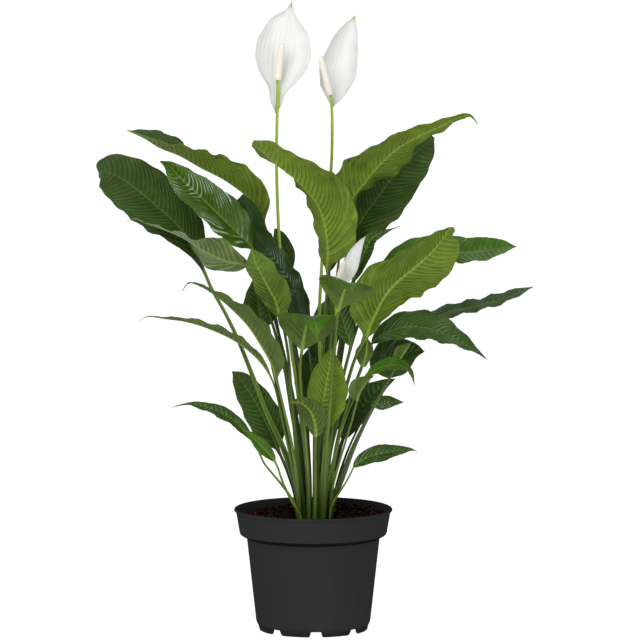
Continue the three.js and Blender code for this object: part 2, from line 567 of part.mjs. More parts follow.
// A closed mesh as a solid for cutting, and back.
function solid(geometry) {
  const bare = geometry.clone();
  bare.deleteAttribute("normal");
  bare.deleteAttribute("uv");
  const merged = mergeVertices(bare, 1e-4);
  return new wasm.Manifold(new wasm.Mesh({
    numProp: 3,
    vertProperties: merged.attributes.position.array,
    triVerts: Uint32Array.from(merged.index.array),
  }));
}

function geometryOf(body) {
  const mesh = body.getMesh();
  const geometry = new THREE.BufferGeometry();
  geometry.setAttribute("position", new THREE.Float32BufferAttribute(mesh.vertProperties, 3));
  geometry.setIndex(Array.from(mesh.triVerts));
  geometry.computeVertexNormals();
  return geometry;
}

// A turned body about +Z from a profile of [radius, height] points that runs up its outside.
function turned(profile, sides) {
  const geometry = new THREE.LatheGeometry(profile.map(([r, z]) => new THREE.Vector2(r, z)), sides);
  return geometry.rotateX(Math.PI / 2);
}

function bodyRadius(z) {
  return THREE.MathUtils.mapLinear(z, BODY_LOW, BODY_TOP, BODY_LOW_RADIUS, BODY_TOP_RADIUS);
}

function pot() {
  const inner = [
    [RIM_RADIUS - LIP - 0.6, POT_HEIGHT - 1],
    [COLLAR_TOP_RADIUS - WALL, POT_HEIGHT - LIP - 3],
    [COLLAR_LOW_RADIUS - WALL, COLLAR_LOW + 1],
    [COLLAR_LOW_RADIUS - WALL - 3, COLLAR_LOW - 2.2],
    [BODY_TOP_RADIUS - WALL + 0.6, BODY_TOP + 1.6],
    [bodyRadius(FLOOR_LOW + FLOOR + 3) - WALL, FLOOR_LOW + FLOOR + 3],
    [bodyRadius(FLOOR_LOW + FLOOR) - WALL - 3, FLOOR_LOW + FLOOR],
    [0, FLOOR_LOW + FLOOR],
  ];
  const outer = [
    [0, FLOOR_LOW],
    [FOOT_RADIUS - FOOT_WIDTH, FLOOR_LOW],
    [FOOT_RADIUS - FOOT_WIDTH, 0],
    [FOOT_RADIUS, 0],
    [FOOT_TOP_RADIUS, FOOT_TOP],
    [BODY_LOW_RADIUS, BODY_LOW],
    [BODY_TOP_RADIUS, BODY_TOP],
    [COLLAR_LOW_RADIUS - 4.5, BODY_TOP + 2],
    [COLLAR_LOW_RADIUS - 0.8, COLLAR_LOW - 2],
    [COLLAR_LOW_RADIUS, COLLAR_LOW],
    [COLLAR_TOP_RADIUS, POT_HEIGHT - LIP - 2],
    [RIM_RADIUS - 0.6, POT_HEIGHT - LIP - 1],
    [RIM_RADIUS, POT_HEIGHT - LIP],
    [RIM_RADIUS - 0.5, POT_HEIGHT - 1],
    [RIM_RADIUS - 2, POT_HEIGHT],
  ];
  let body = solid(turned([...outer, ...inner], POT_SIDES));
  for (let k = 0; k < NOTCHES; k += 1) {
    const turn = THREE.MathUtils.degToRad(NOTCH_TURN + (360 * k) / NOTCHES);
    body = body.subtract(solid(notch(turn))).subtract(solid(drain(turn)));
  }
  return geometryOf(body);
}

// A gap in the foot ring: narrow at its flat top, wider at the floor.
function notch(turn) {
  const shape = new THREE.Shape();
  shape.moveTo(-NOTCH_BOTTOM / 2, -1);
  shape.lineTo(NOTCH_BOTTOM / 2, -1);
  shape.quadraticCurveTo(NOTCH_TOP / 2 + 2, 0, NOTCH_TOP / 2, NOTCH_HEIGHT);
  shape.lineTo(-NOTCH_TOP / 2, NOTCH_HEIGHT);
  shape.quadraticCurveTo(-NOTCH_TOP / 2 - 2, 0, -NOTCH_BOTTOM / 2, -1);
  const geometry = new THREE.ExtrudeGeometry(shape, { depth: 16, bevelEnabled: false, curveSegments: 4 });
  geometry.rotateX(Math.PI / 2);
  geometry.translate(0, -FOOT_RADIUS + 10, 0);
  return geometry.rotateZ(turn);
}

function drain(turn) {
  const geometry = new THREE.CylinderGeometry(DRAIN_RADIUS, DRAIN_RADIUS, 3 * FLOOR, 12);
  geometry.rotateX(Math.PI / 2);
  geometry.translate(0, -DRAIN_CIRCLE, FLOOR_LOW + FLOOR / 2);
  return geometry.rotateZ(turn);
}

// The soil's surface: a low mound, higher at the back right, rough with crumbs.
function soilHeight(x, y) {
  const reach = Math.hypot(x, y) / RIM_RADIUS;
  const mound = SOIL_MOUND * (1 - reach * reach) + 0.018 * x + 0.03 * y;
  const crumbs = Math.sin(0.31 * x + 1) * Math.sin(0.27 * y) + 0.6 * Math.sin(0.53 * x - 0.41 * y);
  return SOIL_EDGE + mound + SOIL_ROUGH * 0.6 * crumbs;
}

function soil() {
  const clear = WALL + GAP;
  const top = COLLAR_LOW_RADIUS - clear + (COLLAR_TOP_RADIUS - COLLAR_LOW_RADIUS) * 0.6;
  const low = FLOOR_LOW + FLOOR + GAP;
  const profile = [
    [0, low],
    [bodyRadius(low) - clear - 3.4, low],
    [bodyRadius(low + 3) - clear - 0.2, low + 3],
    [BODY_TOP_RADIUS - clear, BODY_TOP + 1.4],
    [COLLAR_LOW_RADIUS - clear - 3.6, COLLAR_LOW - 1.6],
    [COLLAR_LOW_RADIUS - clear - 0.3, COLLAR_LOW + 1.4],
    [top, SOIL_EDGE],
  ];
  for (let k = 1; k <= SOIL_RINGS; k += 1) {
    profile.push([top * (1 - k / SOIL_RINGS), SOIL_EDGE]);
  }
  const geometry = turned(profile, POT_SIDES);
  const place = geometry.attributes.position;
  for (let i = 0; i < place.count; i += 1) {
    if (place.getZ(i) > SOIL_EDGE - 0.01) {
      place.setZ(i, soilHeight(place.getX(i), place.getY(i)));
    }
  }
  let body = solid(geometry);
  for (const hole of holes) {
    body = body.subtract(solid(hole));
  }
  return geometryOf(body);
}

put("pot", pot(), COLOURS.pot);
put("soil", soil(), COLOURS.soil);

export default plant;
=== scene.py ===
# Potted peace lily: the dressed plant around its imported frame, in metres, +Z up, front towards -Y.
import math
import random

import bmesh
import bpy
import numpy as np
from mathutils import Euler, Matrix, Vector, noise


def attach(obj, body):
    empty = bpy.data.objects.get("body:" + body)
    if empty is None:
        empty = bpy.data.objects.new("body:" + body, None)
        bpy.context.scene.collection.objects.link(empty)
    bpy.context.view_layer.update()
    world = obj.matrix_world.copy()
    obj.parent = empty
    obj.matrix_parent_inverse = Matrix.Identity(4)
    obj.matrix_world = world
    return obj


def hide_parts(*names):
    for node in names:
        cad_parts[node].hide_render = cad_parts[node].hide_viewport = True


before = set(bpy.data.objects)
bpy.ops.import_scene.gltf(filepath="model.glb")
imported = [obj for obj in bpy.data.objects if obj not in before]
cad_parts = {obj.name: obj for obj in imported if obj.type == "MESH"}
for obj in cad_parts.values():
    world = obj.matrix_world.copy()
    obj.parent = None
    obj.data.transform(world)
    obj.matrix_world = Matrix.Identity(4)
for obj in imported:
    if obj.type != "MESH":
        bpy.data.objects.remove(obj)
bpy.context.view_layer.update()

bl_info = {
    "name": "Potted peace lily",
    "version": (1, 0, 0),
    "blender": (4, 5, 0),
    "location": "3D View > Sidebar > Peace lily",
    "description": "Adds the leaves, blooms, pot and soil of a potted peace lily",
    "category": "Object",
}

MM = 0.001

# The camera: its place and what it looks at in millimetres, its lens and its sensor.
EYE = np.array([10.2, -7500.0, 1279.0])
AIM = (10.2, 0.0, 471.0)
LENS, SENSOR = 281.4, 36
FARTHEST = 60  # how far the camera sees, in metres
FOOT_DEPTH = 148  # height at which petioles and flower stems start, inside the soil

# Leaves, in millimetres and degrees. Points of stems and blades are given as they are seen from the
# front: x and z are where the line of sight crosses the plane y = 0, and y is the real depth. foot is
# where the petiole enters the soil, girth its half width at the foot and at the blade, and flat its
# depth over its width. half is the blade's half width, and its outline comes from widths at even
# steps, or from peak, base and tip. roll turns the blade about its midrib and fold lifts its sides.
# sweep is how far the side veins run forward, and look names the finish of each side. LEAF_FORM
# holds what a leaf doesn't say.
LEAF_FORM = dict(
    half=30, roll=0, fold=14, girth=(4.1, 2.2), flat=0.68, wave=2.5, peak=0.42, base=0.8, tip=1.25,
    across=None, sweep=1, bulge=0.055, relief=1, widths=None, look=("deep", "light"))
LEFT_LEAVES = {
    "leaf_low_left_curl": dict(
        foot=(-14, -45), half=11, roll=30, fold=15, girth=(2.4, 1.6), wave=1, look=("fresh", "bright"),
        relief=0.5,
        stem=[(-20, -50, 172), (-34, -60, 198), (-47, -68, 226), (-53, -70, 245)],
        blade=[(-58, -71, 256), (-70, -72, 270), (-84, -73, 284), (-97, -73, 298), (-109, -72, 306)]),
    "leaf_low_left_thin": dict(
        foot=(-20, -37), half=12, roll=45, fold=15, girth=(2.6, 1.4), wave=1.5, tip=1.7,
        look=("gloss", "mid"), relief=0.5,
        stem=[(-28, -40, 190), (-49, -46, 222), (-65, -50, 241), (-75, -52, 254), (-84, -53, 275)],
        blade=[(-90, -54, 286), (-107, -54, 305), (-125, -54, 321), (-145, -53, 332), (-165, -52, 339),
            (-184, -50, 343), (-200, -48, 342), (-213, -47, 338)]),
    "leaf_mid_left_light": dict(
        foot=(-20, -29), half=33, roll=(112, 110, 104, 98), fold=(32, 30, 24, 18), look=("deep", "mid"),
        widths=(0.1, 0.75, 0.95, 1, 1, 0.93, 0.76, 0.48, 0.28, 0.14, 0.02),
        stem=[(-22, -34, 210), (-32, -39, 280), (-43, -43, 330), (-50, -45, 360)],
        blade=[(-55, -47, 380), (-64, -50, 406), (-76, -53, 428), (-99, -57, 463), (-121, -58, 486),
            (-142, -58, 504), (-168, -58, 521), (-187, -60, 527), (-198, -64, 514)]),
    "leaf_mid_left_thin": dict(
        foot=(-21, -20), half=20, roll=100, fold=25, tip=1.4, wave=1.8, base=1.1, look=("deep", "mid"),
        relief=0.5,
        stem=[(-24, -20, 205), (-36, -20, 270), (-48, -20, 325), (-55, -20, 358)],
        blade=[(-61, -20, 378), (-80, -22, 408), (-114, -26, 437), (-155, -30, 457), (-190, -34, 468),
            (-225, -37, 473), (-250, -40, 476), (-262, -42, 470)]),
    "leaf_bright_left": dict(
        foot=(-13, -21), roll=146, fold=12, look=("gloss", "bright"),
        widths=(0.1, 0.55, 0.85, 1, 1, 0.95, 0.9, 0.85, 0.72, 0.45, 0.02),
        stem=[(-16, -23, 200), (-25, -28, 270), (-33, -35, 360), (-38, -40, 420), (-45, -44, 460)],
        blade=[(-50, -45, 475), (-57, -46, 500), (-65, -47, 515), (-78, -48, 540), (-87, -48, 558),
            (-93, -44, 580)]),
    "leaf_striped_left": dict(
        foot=(-13, -11), half=40, roll=(141, 141, 100, 93, 93), fold=(11, 11, 4, 8, 8), tip=1.5,
        look=("gloss", "pale"),
        stem=[(-16, -11, 200), (-26, -11, 300), (-44, -12, 400), (-66, -13, 480), (-84, -14, 535)],
        blade=[(-98, -15, 553), (-128, -17, 559), (-163, -19, 575), (-195, -21, 595), (-225, -23, 608),
            (-250, -24, 617), (-268, -25, 624), (-282, -26, 620)]),
    "leaf_glossy_left": dict(
        foot=(-10, 3), sweep=1.6, half=35, roll=(40, 35, 17, 3, -2), fold=(20, 21, 38, 40, 40), wave=2,
        look=("streak", "mid"), widths=(0.1, 0.7, 0.92, 1, 1, 0.97, 0.93, 0.86, 0.7, 0.4, 0.03),
        relief=0.6,
        stem=[(-13, 4, 200), (-22, 5, 300), (-40, 6, 400), (-60, 7, 480), (-78, 7, 545)],
        blade=[(-92, 6, 580), (-112, 4, 600), (-140, 1, 628), (-160, -1, 648), (-180, -3, 668),
            (-203, -5, 690), (-216, -6, 704), (-230, -6, 711)]),
    "leaf_far_left": dict(
        foot=(-21, -2), sweep=1.3, half=45, roll=(60, 25, 18, 13, 12), fold=(20, 25, 18, 13, 12),
        girth=(7, 3.6), flat=0.5, wave=2, look=("deep", "mid"),
        widths=(0.05, 0.38, 0.64, 0.83, 0.95, 1, 0.99, 0.93, 0.8, 0.57, 0.18),
        stem=[(-22, -1, 200), (-45, 2, 275), (-68, 5, 325), (-90, 9, 382), (-113, 14, 440),
            (-134, 19, 484), (-153, 24, 518)],
        blade=[(-166, 28, 548), (-200, 31, 609), (-240, 34, 647), (-275, 39, 676), (-300, 48, 691),
            (-315, 60, 695), (-322, 76, 693)]),
    "leaf_dark_arch": dict(
        foot=(2, 14), sweep=1.7, half=29, roll=(-53, -50, -46), fold=3, look=("arch", "mid"),
        widths=(0.1, 0.75, 0.95, 1, 1, 1, 1, 1, 0.97, 0.86, 0.45), relief=0.2,
        stem=[(2, 14, 250), (1, 13, 340), (-4, 11, 410)],
        blade=[(-11, 10, 450), (-19, 9, 484), (-30, 6, 521), (-54, 7, 559), (-82, 12, 597),
            (-98, 17, 636), (-111, 23, 656)]),
    "leaf_dark_mid_left": dict(
        foot=(-19, 9), half=29, roll=20, fold=12, wave=1.5,
        stem=[(-22, 9, 210), (-34, 9, 280), (-50, 9, 350), (-64, 9, 410), (-72, 9, 440)],
        blade=[(-76, 9, 456), (-81, 9, 485), (-85, 10, 510), (-90, 12, 538)]),
    "leaf_upper_left": dict(
        foot=(-4, 22), sweep=1.3, half=46, roll=(116, 114, 108, 84, 88), fold=(30, 33, 32, 34, 18),
        wave=3, widths=(0.12, 0.6, 0.86, 0.95, 0.92, 0.85, 0.8, 0.78, 0.68, 0.44, 0.04),
        stem=[(-6, 24, 250), (-14, 28, 350), (-30, 34, 450), (-48, 40, 530), (-64, 44, 590)],
        blade=[(-74, 45, 614), (-92, 46, 650), (-130, 44, 681), (-170, 38, 702), (-200, 28, 719),
            (-230, 16, 731), (-255, 4, 746), (-279, -6, 757)]),
    "leaf_low_left_dark": dict(
        foot=(-21, 19), half=27, roll=(15, 10, 5), fold=12, wave=1.5,
        widths=(0.1, 0.6, 0.85, 0.97, 1, 0.97, 0.9, 0.8, 0.66, 0.44, 0.04),
        stem=[(-26, 19, 200), (-37, 19, 235), (-48, 19, 262)],
        blade=[(-54, 19, 275), (-68, 18, 308), (-84, 18, 340), (-100, 18, 366), (-113, 20, 384),
            (-122, 24, 393)]),
    "leaf_small_back_left": dict(
        foot=(-8, 41), half=18, roll=10, fold=12, wave=1.5, tip=0.9,
        stem=[(-12, 48, 250), (-24, 57, 380), (-35, 63, 490)],
        blade=[(-41, 66, 538), (-45, 69, 568), (-51, 75, 596), (-58, 85, 610)]),
}
MIDDLE_LEAVES = {
    "leaf_front_small": dict(
        foot=(2, -44), half=21, roll=163, fold=12, wave=1.2, look=("fresh", "mid"),
        stem=[(3, -47, 200), (3, -50, 250), (3, -53, 280)],
        blade=[(4, -55, 293), (3, -62, 313), (-3, -72, 330), (-11, -83, 340), (-22, -94, 346),
            (-36, -104, 346)]),
    "leaf_front_light": dict(
        foot=(8, -36), half=37, roll=145, fold=11, tip=0.85, wave=1.5, peak=0.48,
        look=("fresh", "light"),
        stem=[(8, -38, 200), (6, -41, 250), (7, -44, 280)],
        blade=[(9, -47, 298), (13, -53, 334), (20, -60, 374), (25, -66, 404), (28, -72, 427)]),
    "leaf_front_folded": dict(
        foot=(-6, -36), half=45, fold=(10, 4, -2, 12), across=(-1, 0, 0.03), tip=1.5, peak=0.4,
        look=("fresh", "mid"), base=1.3, relief=0.3,
        stem=[(-7, -38, 220), (-12, -42, 290), (-17, -46, 350), (-20, -48, 400)],
        blade=[(-17, -50, 425), (-13, -57, 450), (-8, -72, 472), (-1, -96, 476), (4, -116, 462),
            (6, -126, 438)]),
    "leaf_front_winged": dict(
        foot=(14, -45), half=42, fold=(10, 8, 8, 0), across=(-1, 0, 0.2), tip=1.2, peak=0.52, base=1.3,
        look=("fresh", "mid"), relief=0.3,
        stem=[(16, -53, 210), (21, -64, 290), (26, -74, 350), (30, -81, 410), (35, -87, 462)],
        blade=[(38, -90, 484), (43, -97, 503), (48, -108, 519), (51, -122, 527), (55, -134, 525),
            (59, -141, 514)]),
    "leaf_striped_middle": dict(
        foot=(16, -28), half=20, roll=30, fold=12, tip=1, wave=1.5, look=("streak", "mid"),
        stem=[(19, -29, 220), (28, -30, 300), (40, -32, 360), (50, -33, 405)],
        blade=[(56, -34, 432), (50, -34, 452), (43, -34, 474), (37, -33, 498), (35, -31, 520),
            (36, -28, 540)]),
    "leaf_centre_big": dict(
        foot=(3, -13), sweep=1.3, half=52, roll=(138, 140, 135, 130, 148), fold=(32, 30, 35, 40, 21),
        girth=(3.6, 2.6), wave=2.6, widths=(0.1, 0.72, 0.88, 1, 1, 0.94, 0.77, 0.62, 0.53, 0.42, 0.12),
        stem=[(6, -14, 250), (10, -15, 350), (16, -16, 450), (21, -17, 520)],
        blade=[(22, -18, 552), (21, -22, 585), (15, -28, 624), (4, -36, 649), (-14, -46, 671),
            (-34, -56, 690), (-56, -62, 706), (-76, -60, 725), (-92, -50, 738)]),
}
RIGHT_LEAVES = {
    "leaf_low_right": dict(
        foot=(23, -36), sweep=1.5, half=15, roll=-40, fold=8, girth=(1.8, 1.3), wave=1.2,
        look=("gloss", "mid"),
        stem=[(28, -40, 188), (36, -44, 203), (45, -48, 217), (54, -52, 232)],
        blade=[(61, -54, 247), (76, -55, 259), (95, -57, 266), (115, -59, 270), (135, -60, 273),
            (148, -60, 274), (157, -60, 271)]),
    "leaf_small_light_right": dict(
        foot=(24, -28), half=23, roll=-120, fold=33, girth=(3, 1.8), wave=1, look=("fresh", "mid"),
        stem=[(27, -36, 205), (38, -52, 250), (50, -64, 290), (60, -73, 325)],
        blade=[(66, -78, 348), (72, -81, 363), (81, -84, 376), (92, -87, 387)]),
    "leaf_small_folded_right": dict(
        foot=(16, -37), half=16, roll=-60, fold=10, girth=(2.6, 1.6), wave=1, tip=1.5,
        look=("fresh", "mid"),
        stem=[(22, -41, 220), (36, -47, 280), (52, -51, 330), (68, -54, 365)],
        blade=[(81, -55, 386), (96, -55, 396), (113, -56, 402), (130, -58, 402), (143, -60, 396),
            (150, -61, 384), (153, -62, 372)]),
    "leaf_upright_right": dict(
        foot=(25, -20), half=17, roll=-160, fold=35, girth=(3.6, 2), wave=1, look=("fresh", "mid"),
        relief=0.4,
        stem=[(27, -23, 215), (36, -31, 285), (52, -34, 345), (67, -34, 382)],
        blade=[(74, -34, 400), (79, -34, 414), (81, -34, 430), (80, -33, 450)]),
    "leaf_small_back_right": dict(
        foot=(21, -11), half=16, roll=-130, fold=32, girth=(8, 2.6), flat=0.4, wave=1,
        look=("fresh", "mid"),
        stem=[(28, -12, 190), (45, -14, 235), (60, -18, 275), (80, -23, 318), (104, -27, 362),
            (118, -29, 388)],
        blade=[(126, -29, 404), (134, -29, 416), (141, -28, 427), (148, -26, 438)]),
    "leaf_right_big": dict(
        foot=(11, -11), sweep=1.3, half=50, roll=(-140, -155, -190, -204, -210),
        fold=(38, 28, 43, 40, 45), girth=(3.6, 2.8), wave=2, look=("gloss", "light"),
        widths=(0.1, 0.68, 0.88, 0.97, 1, 1, 0.97, 0.9, 0.78, 0.58, 0.12),
        stem=[(14, -14, 200), (24, -20, 260), (36, -26, 318), (50, -32, 370), (64, -38, 415)],
        blade=[(79, -42, 446), (92, -45, 475), (106, -49, 503), (124, -54, 526), (152, -62, 550),
            (178, -70, 573), (195, -76, 594), (204, -76, 607), (212, -72, 611)]),
    "leaf_right_glossy": dict(
        foot=(20, -3), sweep=1.5, half=32, roll=-53, fold=9, tip=1.3, look=("gloss", "mid"), relief=0.6,
        stem=[(26, -4, 220), (38, -5, 290), (54, -5, 350), (73, -4, 400)],
        blade=[(89, -4, 436), (107, -6, 450), (131, -10, 459), (153, -14, 461), (182, -20, 456),
            (208, -26, 446), (235, -32, 431), (263, -40, 411)]),
    "leaf_upper_right": dict(
        foot=(10, -2), sweep=1.3, half=45, wave=2.6,
        roll=(-129, -129, -132, -132, -136, -133, -144, -135, -120),
        fold=(31, 31, 25, 0, -5, 14, 8, 6, 5),
        widths=(0.1, 0.85, 1.05, 1.1, 0.97, 0.76, 0.5, 0.33, 0.22, 0.12, 0.02),
        stem=[(12, -2, 250), (18, -2, 350), (27, -1, 450), (36, 1, 540), (43, 2, 590)],
        blade=[(50, 3, 625), (60, 4, 655), (80, 5, 681), (100, 5, 706), (128, 4, 731), (158, 2, 748),
            (190, 0, 763), (219, -4, 777), (236, -6, 779), (247, -8, 767)]),
    "leaf_right_tip": dict(
        foot=(17, 4), half=28, roll=-48, fold=12, wave=2, look=("fresh", "mid"),
        widths=(0.1, 0.6, 0.85, 1, 1, 0.98, 0.95, 0.9, 0.8, 0.52, 0.02), relief=0.6,
        stem=[(23, 5, 250), (36, 6, 340), (54, 7.5, 420), (73, 9.5, 480), (92, 11.5, 532)],
        blade=[(105, 13.5, 556), (130, 15.5, 566), (160, 17.5, 573), (190, 18.5, 575), (215, 18.5, 574),
            (240, 17.5, 574), (265, 16.5, 577), (290, 15.5, 581), (306, 15, 582)]),
    "leaf_twisted_right": dict(
        foot=(15, 12), half=13, roll=-20, fold=15, wave=1.5, tip=1.8, look=("gloss", "mid"),
        stem=[(20, 13, 250), (30, 9, 350), (41, 0, 440), (53, -8, 510)],
        blade=[(60, -11, 530), (70, -14, 556), (79, -16, 578), (88, -16, 594), (99, -16, 601),
            (112, -15, 606), (130, -14, 613)]),
    "leaf_small_right_dark": dict(
        foot=(25, 5), half=12, roll=-35, fold=10, wave=0.8, girth=(2.4, 1.5), look=("streak", "light"),
        stem=[(31, 6, 200), (44, 8, 250), (62, 10, 295), (78, 11, 325)],
        blade=[(88, 12, 340), (103, 12, 344), (120, 12, 346), (137, 12, 346)]),
    "leaf_far_right": dict(
        foot=(24, 14), sweep=1.4, half=21, roll=-68, fold=5, wave=2.2, look=("deep", "mid"), relief=0.4,
        widths=(0.1, 0.8, 0.98, 1, 0.96, 0.92, 0.9, 0.86, 0.74, 0.48, 0.05),
        stem=[(29, 16, 220), (45, 22, 290), (69, 28, 350), (101, 34, 410), (136, 38, 450)],
        blade=[(160, 40, 466), (180, 41, 474), (205, 42, 483), (235, 42, 490), (265, 41, 497),
            (295, 40, 507), (315, 40, 515), (331, 40, 521)]),
    "leaf_dark_right": dict(
        foot=(12, 20), half=31, roll=-16, fold=10, wave=2, tip=1, relief=0.6,
        stem=[(20, 24, 240), (36, 32, 310), (56, 38, 350), (76, 43, 380)],
        blade=[(88, 46, 396), (110, 48, 408), (132, 49, 418), (152, 50, 424), (168, 50, 423)]),
    "leaf_low_right_dark": dict(
        foot=(20, 25), half=28, roll=-42, fold=20, wave=1.5, tip=1, look=("gloss", "light"), relief=0.6,
        stem=[(25, 28, 200), (32, 32, 240), (38, 34, 268)],
        blade=[(44, 36, 290), (58, 40, 314), (75, 42, 338), (92, 44, 358), (108, 45, 372),
            (124, 46, 382)]),
    "leaf_dark_upper_right": dict(
        foot=(9, 29), sweep=1.3, half=46, roll=-12, fold=12, girth=(3.4, 2.4), wave=3,
        widths=(0.1, 0.55, 0.78, 0.92, 1, 1, 0.97, 0.9, 0.76, 0.52, 0.08),
        stem=[(13, 30, 250), (21, 32, 350), (31, 36, 450), (43, 42, 530), (49, 44, 562)],
        blade=[(54, 47, 582), (64, 51, 606), (80, 54, 633), (100, 56, 660), (125, 57, 695),
            (150, 59, 720), (170, 62, 738), (180, 66, 748)]),
}
BACK_LEAVES = {
    "leaf_back_low": dict(
        foot=(-4, 31), half=25, fold=12, wave=1.5,
        stem=[(-6, 33, 220), (-8, 38, 290), (-9, 43, 330)],
        blade=[(-10, 58, 345), (-8, 72, 368), (-3, 86, 392), (4, 98, 416), (11, 106, 440),
            (16, 111, 454)]),
    "leaf_back_middle": dict(
        foot=(1, 38), half=24, wave=2,
        stem=[(4, 43, 250), (9, 50, 340), (13, 56, 385)],
        blade=[(15, 62, 408), (18, 72, 440), (21, 87, 468), (23, 107, 488), (24, 128, 494),
            (24, 144, 486)]),
    "leaf_back_tall": dict(
        foot=(9, 42), half=22, wave=2, across=(1, 0, 0),
        stem=[(15, 43, 300), (21, 44, 400), (24, 46, 480), (24, 50, 520)],
        blade=[(24, 55, 545), (27, 66, 585), (31, 84, 622), (35, 106, 646), (40, 127, 650),
            (45, 145, 640)]),
    "leaf_back_left": dict(
        foot=(-14, 34), half=20, roll=45, wave=2,
        stem=[(-18, 42, 240), (-34, 56, 340), (-50, 70, 440), (-66, 82, 520)],
        blade=[(-78, 90, 560), (-95, 102, 596), (-118, 118, 622), (-145, 132, 640), (-170, 142, 652)]),
    "leaf_back_right": dict(
        foot=(18, 38), half=28, roll=-20,
        stem=[(22, 45, 260), (37, 55, 380), (56, 68, 500), (71, 78, 580)],
        blade=[(80, 84, 616), (98, 94, 656), (118, 108, 686), (138, 126, 702), (152, 143, 704)]),
}

# Blooms: a stem, the hood behind it and the spike on its end.
BLOOMS = {
    "bloom_left": {
        "stem": {
            "foot": (-6, 12), "girth": (2.8, 2.2),
            "stem": [(-10, 18, 250), (-22, 26, 350), (-35, 32, 440), (-45, 34, 520), (-51, 34, 590),
                (-55, 33, 700), (-54.5, 32, 760), (-53.5, 31, 800), (-53, 28, 833)],
        },
        "hood": {
            "half": 46, "roll": 0, "fold": (20, 30, 24, 20, 10), "wave": 1.6,
            "widths": (0.03, 0.21, 0.36, 0.7, 0.93, 1, 0.97, 0.84, 0.62, 0.2, 0),
            "blade": [(-55.3, 34.6, 783), (-54.5, 35, 804), (-51, 38, 830), (-46.5, 43, 862),
                (-43, 46, 895), (-39, 44, 922), (-34.5, 40, 938), (-32, 35, 951)],
        },
        "spike": {"from": (-53, 28, 833), "to": (-46.5, 20, 889), "radius": 5.8},
    },
    "bloom_right": {
        "stem": {
            "foot": (2, 5), "girth": (2.8, 2.2),
            "stem": [(10, 9, 250), (12, 18, 350), (9, 27, 470), (12, 33, 540), (16, 37, 600),
                (23, 40, 660), (27.5, 40, 710), (28.5, 38, 750), (28, 34, 790), (26, 29, 811)],
        },
        "hood": {
            "half": 36, "roll": (-6, -2, 2, 6), "fold": (20, 38, 42, 30),
            "widths": (0.05, 0.4, 0.74, 0.95, 1, 0.96, 0.88, 0.76, 0.58, 0.3, 0),
            "blade": [(28.4, 35.8, 793), (32, 43, 811), (36, 50, 838), (42, 55, 870), (51, 53, 902),
                (63, 46, 930)],
        },
        "spike": {"from": (26, 29, 811), "to": (10.5, 14, 870), "radius": 5.2},
    },
    "bloom_low": {
        "stem": {
            "foot": (8, -27), "girth": (2.6, 2),
            "stem": [(12, -31, 220), (20, -36, 300), (29, -42, 380), (34, -48, 450), (34, -55, 500),
                (35, -60, 524)],
        },
        "hood": {
            "half": 13, "roll": 0, "fold": (10, 30, 20), "wave": 0.6,
            "blade": [(34.6, -54.2, 512), (44, -50, 530), (55, -48, 551), (63, -47, 572), (71, -45, 587),
                (79, -43, 598)],
        },
        "spike": {"from": (35, -60, 524), "to": (47, -66, 561), "radius": 4.4},
    },
}
# A hood is a blade without a petiole. This is how it differs from a leaf.
HOOD_FORM = dict(
    LEAF_FORM, girth=(1, 1), flat=0.4, wave=1.2, base=1.05, tip=1, peak=0.46, sweep=0, bulge=-0.16,
    relief=0)
HOOD_THICKNESS = 0.0006  # in metres
HOOD_PITCH = 4  # spacing of the rows of points along a hood
SEAT = 0.6  # how far up its axis a spike starts, clear of the end of its stem

# The pot, in millimetres: radius, height and how far each corner of its profile is rounded.
POT_OUTSIDE = [
    (79, 11, 0.4), (79, 0, 0.4), (82, 0, 0.5), (84, 8, 1.5), (86.5, 12, 3), (100.8, 141.5, 0.8),
    (107, 143.5, 2), (110.7, 146, 1), (111.5, 148, 1.5), (117, 180, 1.5), (119.2, 181, 0.5),
    (120, 182, 0.5), (119.5, 184, 0.5), (118, 185, 0.4),
]
POT_INSIDE = [
    (116.4, 184, 0.4), (115, 179, 0.8), (109.5, 149, 1), (106.5, 145.8, 1), (99.4, 143.1, 1),
    (85.2, 16.5, 1.5), (82, 13.5, 1),
]
POT_SIDES, SHARP_ANGLE = 192, 32  # steps round the pot, and the angle from which an edge is sharp
STEP_HEIGHT = 143.5  # of the collar's lower edge, where shade is painted
FLOOR_TOP, FLOOR_LOW = 13.5, 11

# Gaps in the foot ring: how many, the turn of the first, half their outline, where they start and
# how far they run outwards. Beside each is a drain hole.
NOTCHES, NOTCH_TURN = 8, 2.9
NOTCH = ((-13.5, -1), (-11.5, -0.4), (-9.6, 1.6), (-8.3, 4.8), (-7.5, 8.5))
NOTCH_NEAR, NOTCH_DEPTH = 72, 20
DRAIN_RADIUS, DRAIN_CIRCLE, DRAIN_DEPTH = 5, 66, 8

# The soil: its height and radius at the wall, its mesh, its crumbs, and the profile below its edge.
SOIL_EDGE, SOIL_RADIUS, SOIL_RINGS, SOIL_SIDES = 172, 112.2, 66, 216
CRUMB_REACH, CRUMB_SHAPES = 107, 8
SOIL_BED = ((0, 14), (81, 14), (85, 17), (98.6, 142.8), (106, 147), (109, 149.5))

# The stage, in metres: half its width, its front, its back and its top, and the bend at the back.
STAGE = (10, -12, 3.2, 7)
STAGE_BEND = 1.6
STAGE_GLOW = 1.1
SKY_STRENGTH = 0.2

# Round lights: place, width and power of each. All aim at the same point.
LIGHT_AIM = (0, 0, 0.5)
LIGHTS = {
    "key": ((-1.3, -3.0, 2.7), 3.0, 104),
    "fill": ((2.2, -3.4, 1.4), 2.4, 36),
    "top": ((0.2, 0.7, 3.2), 1.2, 22),
}


def linear(red, green, blue):
    """A colour given 0 to 255, as Blender wants it."""
    values = [v / 255 for v in (red, green, blue)]
    return tuple(v / 12.92 if v <= 0.04045 else ((v + 0.055) / 1.055) ** 2.4 for v in values)


